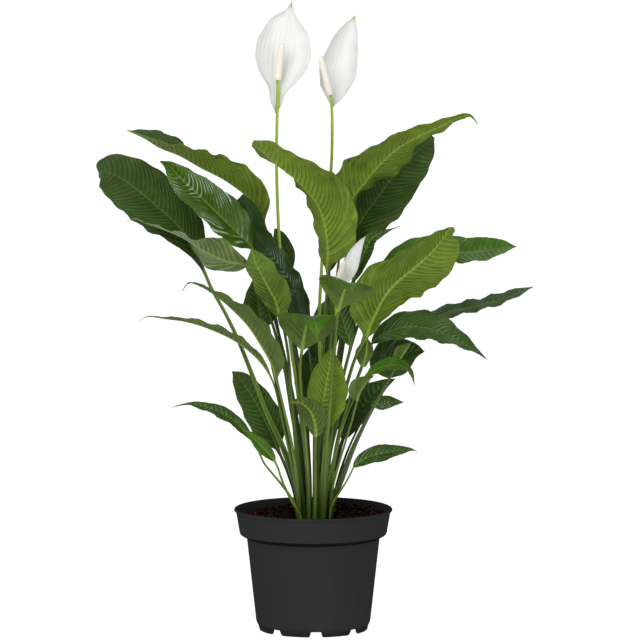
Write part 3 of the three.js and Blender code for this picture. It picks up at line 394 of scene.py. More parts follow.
def colour(label, about, rgb):
    return bpy.props.FloatVectorProperty(
        name=label, description=about, default=linear(*rgb), min=0, max=1, subtype="COLOR")


def length(label, about, value):
    return bpy.props.FloatProperty(
        name=label, description=about, default=value, min=0, max=0.1, unit="LENGTH", subtype="DISTANCE")


class PeaceLilySizes(bpy.types.PropertyGroup):
    """Sizes of the plant's fine detail and of the crumbs on its soil"""

    blade: length("Blade thickness", "Thickness of a leaf blade", 0.0007)
    rib: length("Rib height", "How far the side veins press the blade in and out", 0.0012)
    rib_pitch: length("Rib spacing", "Distance between side veins along the midrib", 0.0086)
    crinkle: length("Margin crinkle", "Height of the small waves along a margin", 0.0004)
    crumb: length("Crumb size", "Mean radius of the crumbs on the soil", 0.0026)
    crumbs: bpy.props.IntProperty(
        name="Crumbs", description="Number of loose crumbs on the soil", default=620, min=0, max=3000)
    floret: length("Floret height", "How far the florets stand out of a spike", 0.0005)


class PeaceLilyColours(bpy.types.PropertyGroup):
    """Main colours of the plant, the pot and the stage"""

    deep: colour("Deep leaf", "Upper side of an old leaf", (54, 78, 27))
    gloss: colour("Glossy leaf", "Upper side of a leaf with a strong shine", (48, 80, 12))
    # Its finish paints white highlight streaks over it.
    streak: colour("Streaked leaf", "Upper side of a leaf with white streaks of light", (60, 90, 18))
    # Its finish paints white highlight streaks near its petiole.
    arch: colour("Arching leaf", "Upper side of a leaf that shines near its petiole", (42, 68, 22))
    fresh: colour("Fresh leaf", "Upper side of a young leaf", (60, 96, 16))
    light: colour("Light underside", "Underside of most leaves", (90, 112, 31))
    mid: colour("Middle underside", "Underside of a shaded leaf", (71, 90, 34))
    bright: colour("Bright underside", "Underside of a young leaf", (80, 103, 28))
    pale: colour("Pale underside", "Underside of a striped leaf", (80, 98, 48))
    midrib: colour("Midrib", "Midribs", (130, 156, 54))
    petiole: colour("Petiole", "Petioles at the front", (104, 132, 42))
    shaded: colour("Shaded petiole", "Petioles at the back", (54, 74, 26))
    stalk: colour("Flower stem", "Stems of the blooms", (150, 182, 56))
    hood: colour("Hood", "The white hoods of the blooms", (225, 225, 223))
    spike: colour("Spike", "The spikes of the blooms", (243, 239, 228))
    pot: colour("Pot", "Black plastic of the pot", (46, 46, 47))
    soil: colour("Soil", "Dark part of the soil", (50, 27, 20))
    bark: colour("Bark", "Light fibres and crumbs of the soil", (126, 84, 66))
    floor: colour("Floor", "Floor and backdrop", (246, 246, 246))


def seen(points):
    """Real places of points that are given as seen from the front."""
    p = np.array(points, float)
    push = p[:, 1:2] / -EYE[1]
    out = p + (p - EYE) * push
    out[:, 1] = p[:, 1]
    return out


def smoothstep(x, low, high):
    t = np.clip((x - low) / (high - low), 0, 1)
    return t * t * (3 - 2 * t)


def along(values, t):
    """A value, or values at even steps from 0 to 1, read at t."""
    if np.isscalar(values):
        return np.full_like(t, values)
    values = np.array(values, float)
    place = np.clip(t, 0, 1) * (len(values) - 1)
    k = np.minimum(place.astype(int), len(values) - 2)
    return values[k] + (values[k + 1] - values[k]) * smoothstep(place - k, 0, 1)


def unit(v):
    return v / np.linalg.norm(v, axis=-1, keepdims=True)


class Course:
    """A smooth course through points, read by the distance along it."""

    per = 20  # places at which each span between two points is measured

    def __init__(self, points, blade_from):
        p = seen(points)
        p = np.vstack([2 * p[0] - p[1], p, 2 * p[-1] - p[-2]])
        self.spans = []
        for x0, x1, x2, x3 in zip(p, p[1:], p[2:], p[3:]):
            d0, d1, d2 = (np.sum((b - a) ** 2) ** 0.25 for a, b in ((x0, x1), (x1, x2), (x2, x3)))
            t1 = ((x1 - x0) / d0 - (x2 - x0) / (d0 + d1) + (x2 - x1) / d1) * d1
            t2 = ((x2 - x1) / d1 - (x3 - x1) / (d1 + d2) + (x3 - x2) / d2) * d1
            self.spans.append((x1, t1, -3 * x1 + 3 * x2 - 2 * t1 - t2, 2 * x1 - 2 * x2 + t1 + t2))
        self.spans = np.array(self.spans)
        self.steps = np.linspace(0, len(self.spans), self.per * len(self.spans) + 1)
        jumps = np.linalg.norm(np.diff(self.cubic(self.steps), axis=0), axis=1)
        self.lengths = np.concatenate([[0], np.cumsum(jumps)])
        self.length = self.lengths[-1]
        self.start = self.lengths[self.per * blade_from]

    def cubic(self, u, slope=False):
        k = np.clip(u.astype(int), 0, len(self.spans) - 1)
        f = (u - k)[..., None]
        c = self.spans[k]
        if slope:
            return c[..., 1, :] + 2 * f * c[..., 2, :] + 3 * f * f * c[..., 3, :]
        return c[..., 0, :] + f * (c[..., 1, :] + f * (c[..., 2, :] + f * c[..., 3, :]))

    def at(self, s):
        u = np.interp(s, self.lengths, self.steps)
        return self.cubic(u), unit(self.cubic(u, slope=True))


def turned_frame(tangent, across, roll):
    """Side and upper directions of a blade. With no turn the upper side faces the viewer."""
    if across:
        side = np.broadcast_to(np.array(across, float), tangent.shape)
    else:
        side = np.cross(tangent, (0, -1, 0))
    side = unit(side - tangent * np.sum(side * tangent, axis=-1, keepdims=True))
    upper = np.cross(side, tangent)
    turn = np.radians(roll)[..., None]
    return side * np.cos(turn) - upper * np.sin(turn), upper * np.cos(turn) + side * np.sin(turn)


def smooth_read(values, t):
    """Values at even steps from 0 to 1, read at t along a smooth curve through them."""
    values = np.array([values[0], *values, values[-1]], float)
    place = t * (len(values) - 3)
    k = np.minimum(place.astype(int), len(values) - 4)
    f = place - k
    a, b, c, d = (values[k + i] for i in range(4))
    return b + 0.5 * f * (c - a + f * (2 * a - 5 * b + 4 * c - d + f * (3 * (b - c) + d - a)))


def outline(t, form):
    """The share of a blade's full half-width at t: 0 at its base, 1 at its widest, 0 at its tip."""
    t = np.clip(t, 0, 1)
    if form["widths"]:
        return np.maximum(smooth_read(form["widths"], t), 0)
    u = t ** (math.log(0.5) / math.log(form["peak"]))
    return np.maximum(np.sin(np.pi * u), 0) ** np.where(t < form["peak"], form["base"], form["tip"])


NEAR_MARGIN = 0.965


def cross_places(columns):
    """Places across a section from margin to margin, closer together at the midrib and the margins."""
    w = np.linspace(-1, 1, columns - 2)
    return np.sort(np.concatenate([w, [-NEAR_MARGIN, NEAR_MARGIN]]))


# In millimetres: a large wave along a margin, and the space between rows on a petiole.
WAVE_LENGTH, STEM_STEP = 36, 12
LEAST_RIBS, LEAST_STEM_ROWS = 9, 5
ROOT = 0.12  # share of the blade along which it turns into its petiole


def blade_surface(form, sizes, thickness, pitch, columns=17, rows_a_rib=8, crinkled=1.0):
    """Points round each section of a leaf, from its foot to its tip, and what its finishes read.

    Rows of points follow the side veins: they start at the midrib and run forward to the margin."""
    petiole = [(*form["foot"], FOOT_DEPTH), *form["stem"]] if "foot" in form else []
    path = Course(petiole + form["blade"], len(petiole))
    start, whole = path.start, path.length
    span = whole - start
    ribs = round(span / min(pitch, span / LEAST_RIBS))
    blade_rows = ribs * rows_a_rib
    stem_rows = max(LEAST_STEM_ROWS, round(start / STEM_STEP)) if start else 0
    s = np.concatenate([start * np.arange(stem_rows) / max(stem_rows, 1),
        start + span * np.arange(blade_rows + 1) / blade_rows])
    t = (s - start) / span
    w = cross_places(columns)
    bent = np.sign(w) * np.abs(w) ** 1.3
    q = np.abs(bent)
    lead = form["sweep"] * form["half"] * smoothstep(t, 0, 0.2) * np.maximum(1 - t, 0)
    place = np.minimum(s[:, None] + lead[:, None] * (0.6 * q + 0.85 * q * q)[None, :], whole)
    reach = (place - start) / span
    t_blade = np.clip(reach, 0, 1)

    centre, tangent = path.at(place)
    side, upper = turned_frame(tangent, form["across"], along(form["roll"], t_blade))
    root = 1 - smoothstep(reach, 0, ROOT)
    foot_girth, end_girth = form["girth"]
    neck = end_girth * (1 - t_blade)
    thick = foot_girth + (end_girth - foot_girth) * smoothstep(place / max(start, 1), 0, 1)
    thick = np.where(reach < 0, thick, neck)
    frill = 1 + 0.02 * np.sin(place * 0.21) * np.sign(bent)
    wide = form["half"] * outline(t_blade, form) * np.where(reach < 0, 0, frill)
    half = np.sqrt((thick * 0.97) ** 2 + wide ** 2 + 0.25)
    deep = thick * form["flat"]
    around = np.sin(w * math.pi / 2)[None, :]
    off = half * (bent[None, :] * (1 - root) + around * root)
    share = np.abs(off) / half

    # The middle of the sheet: pillows between the veins, a bulge from midrib to margin, and waves.
    waves = span / WAVE_LENGTH
    swing = form["wave"] * np.sin(np.pi * t_blade)
    turn = 2 * np.pi * waves * t_blade
    rise = swing * np.where(off < 0, np.sin(turn), np.sin(turn + 2.2)) * share ** 1.5
    rise += form["bulge"] * half * np.sin(np.pi * share)
    hand = np.sign(off)
    crinkle = np.sin(place * 0.47 + 1.9 * hand) + 0.6 * np.sin(place * 0.83 + 4 * hand)
    rise += crinkled * sizes.crinkle / MM * crinkle * share ** 4 * np.sin(np.pi * t_blade)
    phase = (s - start) / (span / ribs)
    vein = (0.5 + 0.5 * np.cos(2 * np.pi * phase))[:, None] ** 2
    fade = smoothstep(reach, 0.02, 0.14) * (1 - smoothstep(reach, 0.9, 1)) * (1 - share ** 6)
    rise -= form["relief"] * sizes.rib / MM * vein * fade * np.minimum(share / 0.12, 1)
    rise *= 1 - root

    # Above and below the middle: a plate with a ridge under its midrib, or a round petiole.
    edge = thickness / MM / 2 * (1 - 0.35 * share ** 4)
    ridge = neck * form["flat"] * 0.85 * np.exp(-(off / (neck * 1.05 + 0.2)) ** 2)
    arch = np.cos(w * math.pi / 2)[None, :]
    channel = 0.3 * np.exp(-(w[None, :] / 0.35) ** 2)
    above = edge * (1 - root) + (deep * np.maximum(arch - channel, 0.06) + 0.12) * root
    below = (edge + ridge) * (1 - root) + (deep * arch + 0.12) * root
    fold = np.radians(along(form["fold"], t_blade)) * (1 - root) * np.minimum(share / 0.1, 1)
    fold, hand = fold[..., None], hand[..., None]
    out = side * hand * np.cos(fold) + upper * np.sin(fold)
    up = upper * np.cos(fold) - side * hand * np.sin(fold)
    flat_place = centre + out * np.abs(off)[..., None]
    top = flat_place + up * (rise + above)[..., None]
    low = flat_place + up * (rise - below)[..., None]
    points = np.concatenate([top, low[:, ::-1]], axis=1) * MM

    def both(a):
        return np.concatenate([a, a[:, ::-1]], axis=1)

    values = {
        "vein": both(np.broadcast_to(phase[:, None], off.shape)),
        "cross": both(off / half),
        "aside": both(np.abs(off)),
        "reach": both(np.where(reach < 0, (place - start) / max(start, 1), reach)),
    }
    return points, values, stem_rows


def ring_points(centre, side, upper, r, turn):
    """Points round an axis, r away from it."""
    return centre + side * (r * np.cos(turn))[..., None] + upper * (r * np.sin(turn))[..., None]


def tube_surface(path, girth, rows=60, sides=16):
    """Round sections along a course, from one girth to the other."""
    s = np.linspace(0, path.length, rows)
    centre, tangent = path.at(s)
    side = unit(np.cross(tangent, (0, -1, 0)))
    upper = np.cross(side, tangent)
    turn = 2 * np.pi * np.arange(sides) / sides
    share = np.broadcast_to((s / path.length)[:, None], (rows, sides))
    r = girth[0] + (girth[1] - girth[0]) * smoothstep(share, 0, 1)
    points = ring_points(centre[:, None], side[:, None], upper[:, None], r, turn)
    return points * MM, {"reach": share, "cross": np.broadcast_to(turn / (2 * np.pi), r.shape)}


def loft(points, values, slot_of=None):
    """A closed skin: a grid is bent round the sections, its seam is welded and its ends are filled."""
    rows, around = points.shape[:2]
    bm = bmesh.new()
    bmesh.ops.create_grid(bm, x_segments=rows - 1, y_segments=around, size=0.5)
    layers = {name: bm.verts.layers.float.new(name) for name in values}
    cells = {}
    for v in bm.verts:
        i = round((v.co.x + 0.5) * (rows - 1))
        j = round((v.co.y + 0.5) * around)
        cells[v] = (i, j)
    if slot_of:
        for face in bm.faces:
            i = min(cells[v][0] for v in face.verts)
            j = min(cells[v][1] for v in face.verts)
            face.material_index = slot_of(i, j)
    for v, (i, j) in cells.items():
        v.co = points[i, j % around]
        for name, layer in layers.items():
            v[layer] = values[name][i, j % around]
    seam = [v for v, (i, j) in cells.items() if j in (0, around)]
    bmesh.ops.remove_doubles(bm, verts=seam, dist=1e-6)
    ends = [e for e in bm.edges if e.is_boundary]
    bmesh.ops.holes_fill(bm, edges=ends, sides=0)
    bmesh.ops.recalc_face_normals(bm, faces=bm.faces)
    for face in bm.faces:
        face.smooth = True
    return bm


def add_piece(name, bm, materials, node):
    """Makes an object of a bmesh, with its finishes, in the place of a CAD node."""
    mesh = bpy.data.meshes.new(name)
    bm.to_mesh(mesh)
    bm.free()
    return place_piece(name, mesh, materials, node)


def place_piece(name, mesh, materials, node):
    for material in materials:
        mesh.materials.append(material)
    piece = bpy.data.objects.new(name, mesh)
    bpy.context.scene.collection.objects.link(piece)
    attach(piece, "root")
    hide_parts(node)
    return piece


# Finishes. A small wrapper keeps the node code short: each call makes a node and returns its output.
class Nodes:
    def __init__(self, tree):
        self.tree = tree

    def new(self, kind, **settings):
        node = self.tree.nodes.new("ShaderNode" + kind)
        for key, value in settings.items():
            setattr(node, key, value)
        return node

    def feed(self, socket, value):
        if isinstance(value, bpy.types.NodeSocket):
            self.tree.links.new(value, socket)
        elif value is not None:
            socket.default_value = value

    def math(self, operation, *values, clamp=False):
        node = self.new("Math", operation=operation, use_clamp=clamp)
        for socket, value in zip(node.inputs, values):
            self.feed(socket, value)
        return node.outputs[0]

    def times(self, first, second):
        return self.math("MULTIPLY", first, second)

    def plus(self, first, second):
        return self.math("ADD", first, second)

    def less(self, first, second):
        return self.math("SUBTRACT", first, second)

    def wave(self, angle):
        """From 0 to 1 and back, with its peak where the angle is 0."""
        return self.math("MULTIPLY_ADD", self.math("COSINE", angle), 0.5, 0.5)

    def attribute(self, name):
        return self.new("Attribute", attribute_name=name).outputs["Fac"]

    def place(self):
        return self.new("TexCoord").outputs["Object"]

    def noise(self, scale, detail=3.0, roughness=0.55, vector=None):
        node = self.new("TexNoise")
        self.feed(node.inputs["Vector"], vector or self.place())
        node.inputs["Scale"].default_value = scale
        node.inputs["Detail"].default_value = detail
        node.inputs["Roughness"].default_value = roughness
        return node.outputs["Fac"]

    def ramp(self, value, low, high, to_low=0.0, to_high=1.0):
        node = self.new("MapRange", interpolation_type="SMOOTHSTEP")
        for socket, item in zip(node.inputs, (value, low, high, to_low, to_high)):
            self.feed(socket, item)
        return node.outputs["Result"]

    def mix(self, share, first, second):
        node = self.new("Mix", data_type="RGBA")
        self.feed(node.inputs[0], share)
        for socket, value in ((node.inputs[6], first), (node.inputs[7], second)):
            self.feed(socket, (*value, 1) if isinstance(value, tuple) else value)
        return node.outputs[2]

    def over(self, tone, *layers):
        """The tone with the colour of each layer laid over it by the layer's share."""
        for share, colour in layers:
            tone = self.mix(share, tone, colour)
        return tone

    def bump(self, height, distance):
        node = self.new("Bump")
        node.inputs["Distance"].default_value = distance
        self.feed(node.inputs["Height"], height)
        return node.outputs["Normal"]

    def group(self, tree, **values):
        node = self.new("Group", node_tree=tree)
        for label, value in values.items():
            self.feed(node.inputs[label], value)
        return node.outputs


def new_group(name, inputs, outputs):
    tree = bpy.data.node_groups.new(name, "ShaderNodeTree")
    for label, value in inputs.items():
        socket = tree.interface.new_socket(name=label, in_out="INPUT", socket_type="NodeSocketFloat")
        socket.default_value = value
    for label in outputs:
        tree.interface.new_socket(name=label, in_out="OUTPUT", socket_type="NodeSocketFloat")
    return tree, tree.nodes.new("NodeGroupInput"), tree.nodes.new("NodeGroupOutput")


def vein_group():
    """Masks of the side veins, the fine veins between them, the painted shade in the furrow beside each, the
    painted white highlight streaks and the midrib, from the leaf's own values."""
    if "Leaf veins" in bpy.data.node_groups:
        return bpy.data.node_groups["Leaf veins"]
    tree, given, result = new_group("Leaf veins",
        {"Fine": 4.0, "Midrib": 1.7, "Narrow": 3.0, "Until": 2.0},
        ["Side", "Fine", "Dark", "Glint", "Midrib", "Height"])
    n = Nodes(tree)
    narrow = given.outputs["Narrow"]
    reach = n.attribute("reach")
    fade = n.ramp(reach, 0.0, ROOT)
    wander = n.times(n.less(n.noise(90.0, 2.0), 0.5), 0.28)
    phase = n.times(n.plus(n.attribute("vein"), wander), 2 * math.pi)
    side = n.times(n.math("POWER", n.wave(phase), narrow), fade)
    fine = n.wave(n.times(phase, given.outputs["Fine"]))
    # Painted shade: a dark band in the furrow beside each side vein, fading towards the margin.
    groove_shade = n.math("POWER", n.wave(n.plus(phase, 1.3)), narrow)
    dark = n.times(groove_shade, n.ramp(n.math("ABSOLUTE", n.attribute("cross")), 0.1, 0.95, 1.0, 0.0))
    # Painted highlight: white streaks along the veins, in patches, up to a given reach.
    spread = n.math("MULTIPLY_ADD", n.noise(30.0, 2.0), 3.0, 1.1)
    line = n.math("POWER", n.wave(n.plus(phase, spread)), 6.0)
    patch = n.ramp(n.noise(20.0, 3.0), 0.48, 0.61)
    until = n.ramp(n.less(reach, given.outputs["Until"]), -0.12, 0.06, 1.0, 0.0)
    glint = n.times(n.times(line, patch), n.times(until, fade))
    width = n.times(given.outputs["Midrib"], n.less(1.15, reach))
    midrib = n.math("SUBTRACT", 1.0, n.ramp(n.math("DIVIDE", n.attribute("aside"), width), 0.45, 1.3),
        clamp=True)
    masks = {
        "Side": side, "Fine": fine, "Dark": n.times(dark, fade), "Glint": glint, "Midrib": midrib,
        "Height": n.plus(n.times(side, 0.7), n.times(fine, 0.3)),
    }
    for label, value in masks.items():
        n.feed(result.inputs[label], value)
    return tree


def mottle_group():
    """Uneven tone at two scales, about 0.5 in the middle, and a fine grain."""
    if "Mottle" in bpy.data.node_groups:
        return bpy.data.node_groups["Mottle"]
    tree, given, result = new_group("Mottle", {"Scale": 1.0}, ["Tone", "Grain"])
    n = Nodes(tree)
    scaled = n.new("VectorMath", operation="SCALE")
    n.feed(scaled.inputs[0], n.place())
    n.feed(scaled.inputs["Scale"], given.outputs["Scale"])
    place = scaled.outputs[0]
    tone = n.plus(n.times(n.noise(14.0, 2.0, vector=place), 0.55), n.times(n.noise(60.0, vector=place), 0.45))
    n.feed(result.inputs["Tone"], tone)
    n.feed(result.inputs["Grain"], n.noise(420.0, vector=place))
    return tree


def start_material(name, roughness, specular=0.5):
    material = bpy.data.materials.new(name)
    material.use_nodes = True
    shader = material.node_tree.nodes["Principled BSDF"]
    shader.inputs["Roughness"].default_value = roughness
    shader.inputs["Specular IOR Level"].default_value = specular
    return material, Nodes(material.node_tree), shader


def set_coat(shader, weight, roughness):
    shader.inputs["Coat Weight"].default_value = weight
    shader.inputs["Coat Roughness"].default_value = roughness


def feed_shader(n, shader, tone, rough, normal):
    for label, value in (("Base Color", tone), ("Roughness", rough), ("Normal", normal)):
        n.feed(shader.inputs[label], value)


def shade(rgb, by):
    return tuple(min(max(c * by, 0), 1) for c in rgb)


def blend_colour(a, b, share):
    return tuple(x + (y - x) * share for x, y in zip(a, b))


# The finishes of a blade. vein is the tone of the side veins against the blade and how much they show,
# dark is the painted shade in the furrow beside each, fine how much the fine veins show, and narrow how
# narrow the side veins are. glint is how white the painted highlight streaks are, and until how far along
# the leaf they reach. midrib is how near the midrib is to its own colour. relief is how deep the veins
# press the surface, and it is negative where they are sunk. FINISH_FORM holds what a finish doesn't say.
FINISH_FORM = dict(
    vein=(-0.4, 0.5), dark=0.25, fine=0.14, narrow=2.0, glint=0.0, until=2.0, midrib=0.3,
    rough=0.5, shine=0.15, coat=0.0, relief=-0.0005)
BLADE_FINISHES = {
    "deep": dict(glint=0.03),
    "gloss": dict(vein=(-0.4, 0.4), glint=0.16, midrib=0.4, rough=0.38, shine=0.22, coat=0.08,
        relief=-0.0004),
    "streak": dict(dark=0.2, fine=0.15, glint=0.75, midrib=0.4, rough=0.34, shine=0.25, coat=0.12,
        relief=-0.0003),
    "arch": dict(vein=(-0.15, 0.2), dark=0.0, fine=0.08, glint=0.65, until=0.6, midrib=0.2, shine=0.12,
        relief=-0.0003),
    "fresh": dict(vein=(-0.25, 0.35), dark=0.1, fine=0.1, midrib=0.6, rough=0.42, shine=0.2, coat=0.05,
        relief=-0.0002),
    "light": dict(vein=(0.7, 0.7), dark=0.6, fine=0.12, narrow=6.0, midrib=1.0, shine=0.16, relief=0.0006),
    "mid": dict(vein=(0.5, 0.5), dark=0.5, fine=0.12, narrow=6.0, midrib=0.8, shine=0.2, relief=0.0005),
    "bright": dict(vein=(0.4, 0.4), dark=0.4, fine=0.1, narrow=6.0, midrib=0.9, rough=0.46, shine=0.25,
        relief=0.0004),
    "pale": dict(vein=(1.4, 0.8), dark=0.5, fine=0.2, narrow=3.0, midrib=0.8, rough=0.42, shine=0.3,
        coat=0.1, relief=0.0005),
}
# Colours that the finishes mix in, besides the ones on the panel.
# White of the painted highlight streaks on the leaves.
PAINTED_GLINT_WHITE = (0.5, 0.62, 0.48)
# Colour of the painted highlight along petioles and flower stems.
PAINTED_STEM_HIGHLIGHT = (0.5, 0.56, 0.12)
# Grey of the hood's lines, of its uneven tone and of the shade painted in its middle.
HOOD_GREY = (0.55, 0.6, 0.52)
HOOD_GREEN = (0.42, 0.58, 0.22)
HOOD_TIP = (0.62, 0.5, 0.18)
BETWEEN_FLORETS = (0.5, 0.38, 0.2)
DUST = (0.12, 0.11, 0.1)


def blade_material(kind, colours):
    name = "Leaf " + kind
    if name in bpy.data.materials:
        return bpy.data.materials[name]
    finish = {**FINISH_FORM, **BLADE_FINISHES[kind]}
    base = tuple(getattr(colours, kind))
    lighter, shown = finish["vein"]
    material, n, shader = start_material(name, finish["rough"], finish["shine"])
    set_coat(shader, finish["coat"], 0.14)
    veins = n.group(vein_group(), Narrow=finish["narrow"], Until=finish["until"],
        Midrib=1.1 if finish["relief"] < 0 else 2.5)
    mottle = n.group(mottle_group())
    midrib = blend_colour(shade(base, 1.2), tuple(colours.midrib), finish["midrib"])
    tone = n.over(n.mix(n.ramp(mottle["Tone"], 0.36, 0.64), shade(base, 0.72), shade(base, 1.28)),
        (n.times(veins["Fine"], finish["fine"]), shade(base, 1.9)),
        (n.times(veins["Side"], shown), shade(base, 1 + lighter)),
        # Painted shade beside each side vein.
        (n.times(veins["Dark"], finish["dark"]), shade(base, 0.4)),
        # Painted highlight: white streaks along the veins.
        (n.times(veins["Glint"], finish["glint"]), PAINTED_GLINT_WHITE),
        (n.times(veins["Midrib"], 0.9), midrib))
    rough = n.ramp(mottle["Grain"], 0.3, 0.7, finish["rough"] - 0.05, finish["rough"] + 0.09)
    height = n.plus(veins["Height"], n.times(mottle["Grain"], 0.18))
    sign = math.copysign(1, finish["relief"])
    feed_shader(n, shader, tone, rough, n.bump(n.times(height, sign), abs(finish["relief"])))
    return material


def stem_material(name, base, dark):
    """Petioles and flower stems: fibres and a painted highlight run along them, and they darken towards the
    soil.
    """
    if name in bpy.data.materials:
        return bpy.data.materials[name]
    material, n, shader = start_material(name, 0.42, 0.25)
    set_coat(shader, 0.08, 0.25)
    mottle = n.group(mottle_group())
    cross = n.attribute("cross")
    own = n.attribute("tone")
    fibre = n.wave(n.times(cross, 44.0))
    foot = n.ramp(n.attribute("reach"), -1.0, -0.55, 0.75, 0.0)
    # Painted highlight: a light band along one side of each stem, stronger where its own tone is high.
    from_highlight = n.math("ABSOLUTE", n.less(cross, n.math("MULTIPLY_ADD", own, 0.8, -0.4)))
    stripe = n.times(n.ramp(from_highlight, 0.05, 0.45, 1.0, 0.0), own)
    tone = n.over(n.mix(n.ramp(mottle["Tone"], 0.35, 0.65), shade(base, 0.8), shade(base, 1.2)),
        (n.times(n.less(1.0, own), 0.7), dark),
        (stripe, blend_colour(shade(base, 2.4), PAINTED_STEM_HIGHLIGHT, 0.25)),
        (n.times(fibre, 0.25), dark),
        (foot, dark))
    feed_shader(n, shader, tone, n.ramp(mottle["Grain"], 0.3, 0.7, 0.34, 0.48),
        n.bump(n.plus(fibre, mottle["Grain"]), 0.00015))
    return material


def hood_material(colours):
    """White with faint lines, its middle greyed by painted shade, green at its base and tan at its tip."""
    if "Hood" in bpy.data.materials:
        return bpy.data.materials["Hood"]
    base = tuple(colours.hood)
    material, n, shader = start_material("Hood", 0.5, 0.3)
    mottle = n.group(mottle_group())
    cross = n.attribute("cross")
    reach = n.attribute("reach")
    line = n.math("POWER", n.wave(n.times(cross, 38.0)), 4.0)
    green = n.times(n.ramp(reach, 0.0, 0.12, 1.0, 0.0), n.ramp(n.attribute("aside"), 1.5, 9.0, 1.0, 0.1))
    # Painted shade: grey in the middle of the lower half, where the hood curves in.
    hollow_shade = n.times(n.ramp(reach, 0.12, 0.55, 1.0, 0.0),
        n.ramp(n.math("ABSOLUTE", cross), 0.1, 0.8, 1.0, 0.0))
    grey = blend_colour(base, HOOD_GREY, 0.5)
    tone = n.over(base,
        (n.times(line, 0.16), grey),
        (n.ramp(mottle["Tone"], 0.4, 0.62, 0.0, 0.18), grey),
        (n.times(hollow_shade, 0.16), grey),
        (n.times(green, 0.7), HOOD_GREEN),
        (n.ramp(reach, 0.93, 0.985), HOOD_TIP))
    feed_shader(n, shader, tone, n.ramp(mottle["Grain"], 0.3, 0.7, 0.4, 0.55),
        n.bump(n.plus(line, n.times(mottle["Grain"], 0.4)), 0.0003))
    return material


def spike_material(colours):
    if "Spike" in bpy.data.materials:
        return bpy.data.materials["Spike"]
    base = tuple(colours.spike)
    material, n, shader = start_material("Spike", 0.75)
    mottle = n.group(mottle_group(), Scale=2.0)
    tone = n.over(blend_colour(base, BETWEEN_FLORETS, 0.42),
        (n.ramp(n.attribute("floret"), 0.2, 0.75), base),
        (n.ramp(mottle["Tone"], 0.4, 0.65, 0.0, 0.3), shade(base, 0.8)))
    feed_shader(n, shader, tone, n.ramp(mottle["Grain"], 0.3, 0.7, 0.65, 0.85),
        n.bump(mottle["Grain"], 0.0002))
    return material


def pot_material(colours):
    """Dull plastic with a little dust, and painted shade under its collar and round its foot."""
    if "Pot plastic" in bpy.data.materials:
        return bpy.data.materials["Pot plastic"]
    base = tuple(colours.pot)
    material, n, shader = start_material("Pot plastic", 0.55, 0.0)
    mottle = n.group(mottle_group(), Scale=0.8)
    dust = n.ramp(n.noise(9.0, 5.0, 0.65), 0.5, 0.78, 0.0, 0.2)
    dusty = shade(blend_colour(base, DUST, 0.3), 1.1)
    place = n.new("SeparateXYZ")
    n.feed(place.inputs[0], n.place())
    height = place.outputs["Z"]
    # Painted shade: darker in the crease under the collar's lower edge and round the foot.
    from_step = n.math("ABSOLUTE", n.less(height, STEP_HEIGHT * MM))
    painted_shade = n.math("MAXIMUM", n.ramp(from_step, 0.0022, 0.0042, 1.0, 0.0),
        n.ramp(height, 0.004, 0.014, 0.5, 0.0))
    tone = n.over(shade(base, 0.92), (dust, dusty), (n.times(painted_shade, 0.85), shade(base, 0.15)))
    swirl = n.plus(n.times(n.noise(1600.0, 2.0), 0.4), mottle["Tone"])
    feed_shader(n, shader, tone, n.ramp(mottle["Tone"], 0.35, 0.65, 0.46, 0.6), n.bump(swirl, 0.00012))
    return material


def soil_material(colours):
    """Dark crumbs and light fibres, told apart by cells."""
    if "Soil mix" in bpy.data.materials:
        return bpy.data.materials["Soil mix"]
    dark, light = tuple(colours.soil), tuple(colours.bark)
    material, n, shader = start_material("Soil mix", 0.95, 0.0)
    cells = n.new("TexVoronoi")
    n.feed(cells.inputs["Vector"], n.place())
    cells.inputs["Scale"].default_value = 260.0
    split = n.new("SeparateColor")
    n.feed(split.inputs[0], cells.outputs["Color"])
    rough = n.noise(520.0, 4.0, 0.7)
    share = n.times(n.ramp(split.outputs[0], 0.4, 0.95), n.ramp(rough, 0.36, 0.62))
    damp = n.ramp(n.noise(36.0), 0.42, 0.66, 0.0, 0.55)
    tone = n.over(dark, (share, light), (damp, shade(dark, 0.5)))
    height = n.plus(n.times(cells.outputs["Distance"], 60.0), rough)
    feed_shader(n, shader, tone, n.ramp(rough, 0.3, 0.7, 0.85, 1.0), n.bump(height, 0.0012))
    return material


def add_leaf(name, form, context):
    sizes, colours = context.scene.peace_lily_sizes, context.scene.peace_lily_colours
    whole = {**LEAF_FORM, **form}
    points, values, stem_rows = blade_surface(whole, sizes, sizes.blade, sizes.rib_pitch / MM)
    columns = points.shape[1] // 2
    upper, under = whole["look"]
    # Petioles at the back take the darker shaded copy of the petiole colour: painted shade.
    at_back = whole["foot"][1] > 0
    petiole = stem_material("Shaded petiole" if at_back else "Petiole",
        tuple(colours.shaded if at_back else colours.petiole), shade(tuple(colours.fresh), 0.4))
    finishes = [blade_material(upper, colours), blade_material(under, colours), petiole]
    values["tone"] = np.full(points.shape[:2], random.Random(name).random())
    bm = loft(points, values, lambda i, j: 2 if i < stem_rows else int(j >= columns - 1))
    add_piece("lily_" + name, bm, finishes, name)


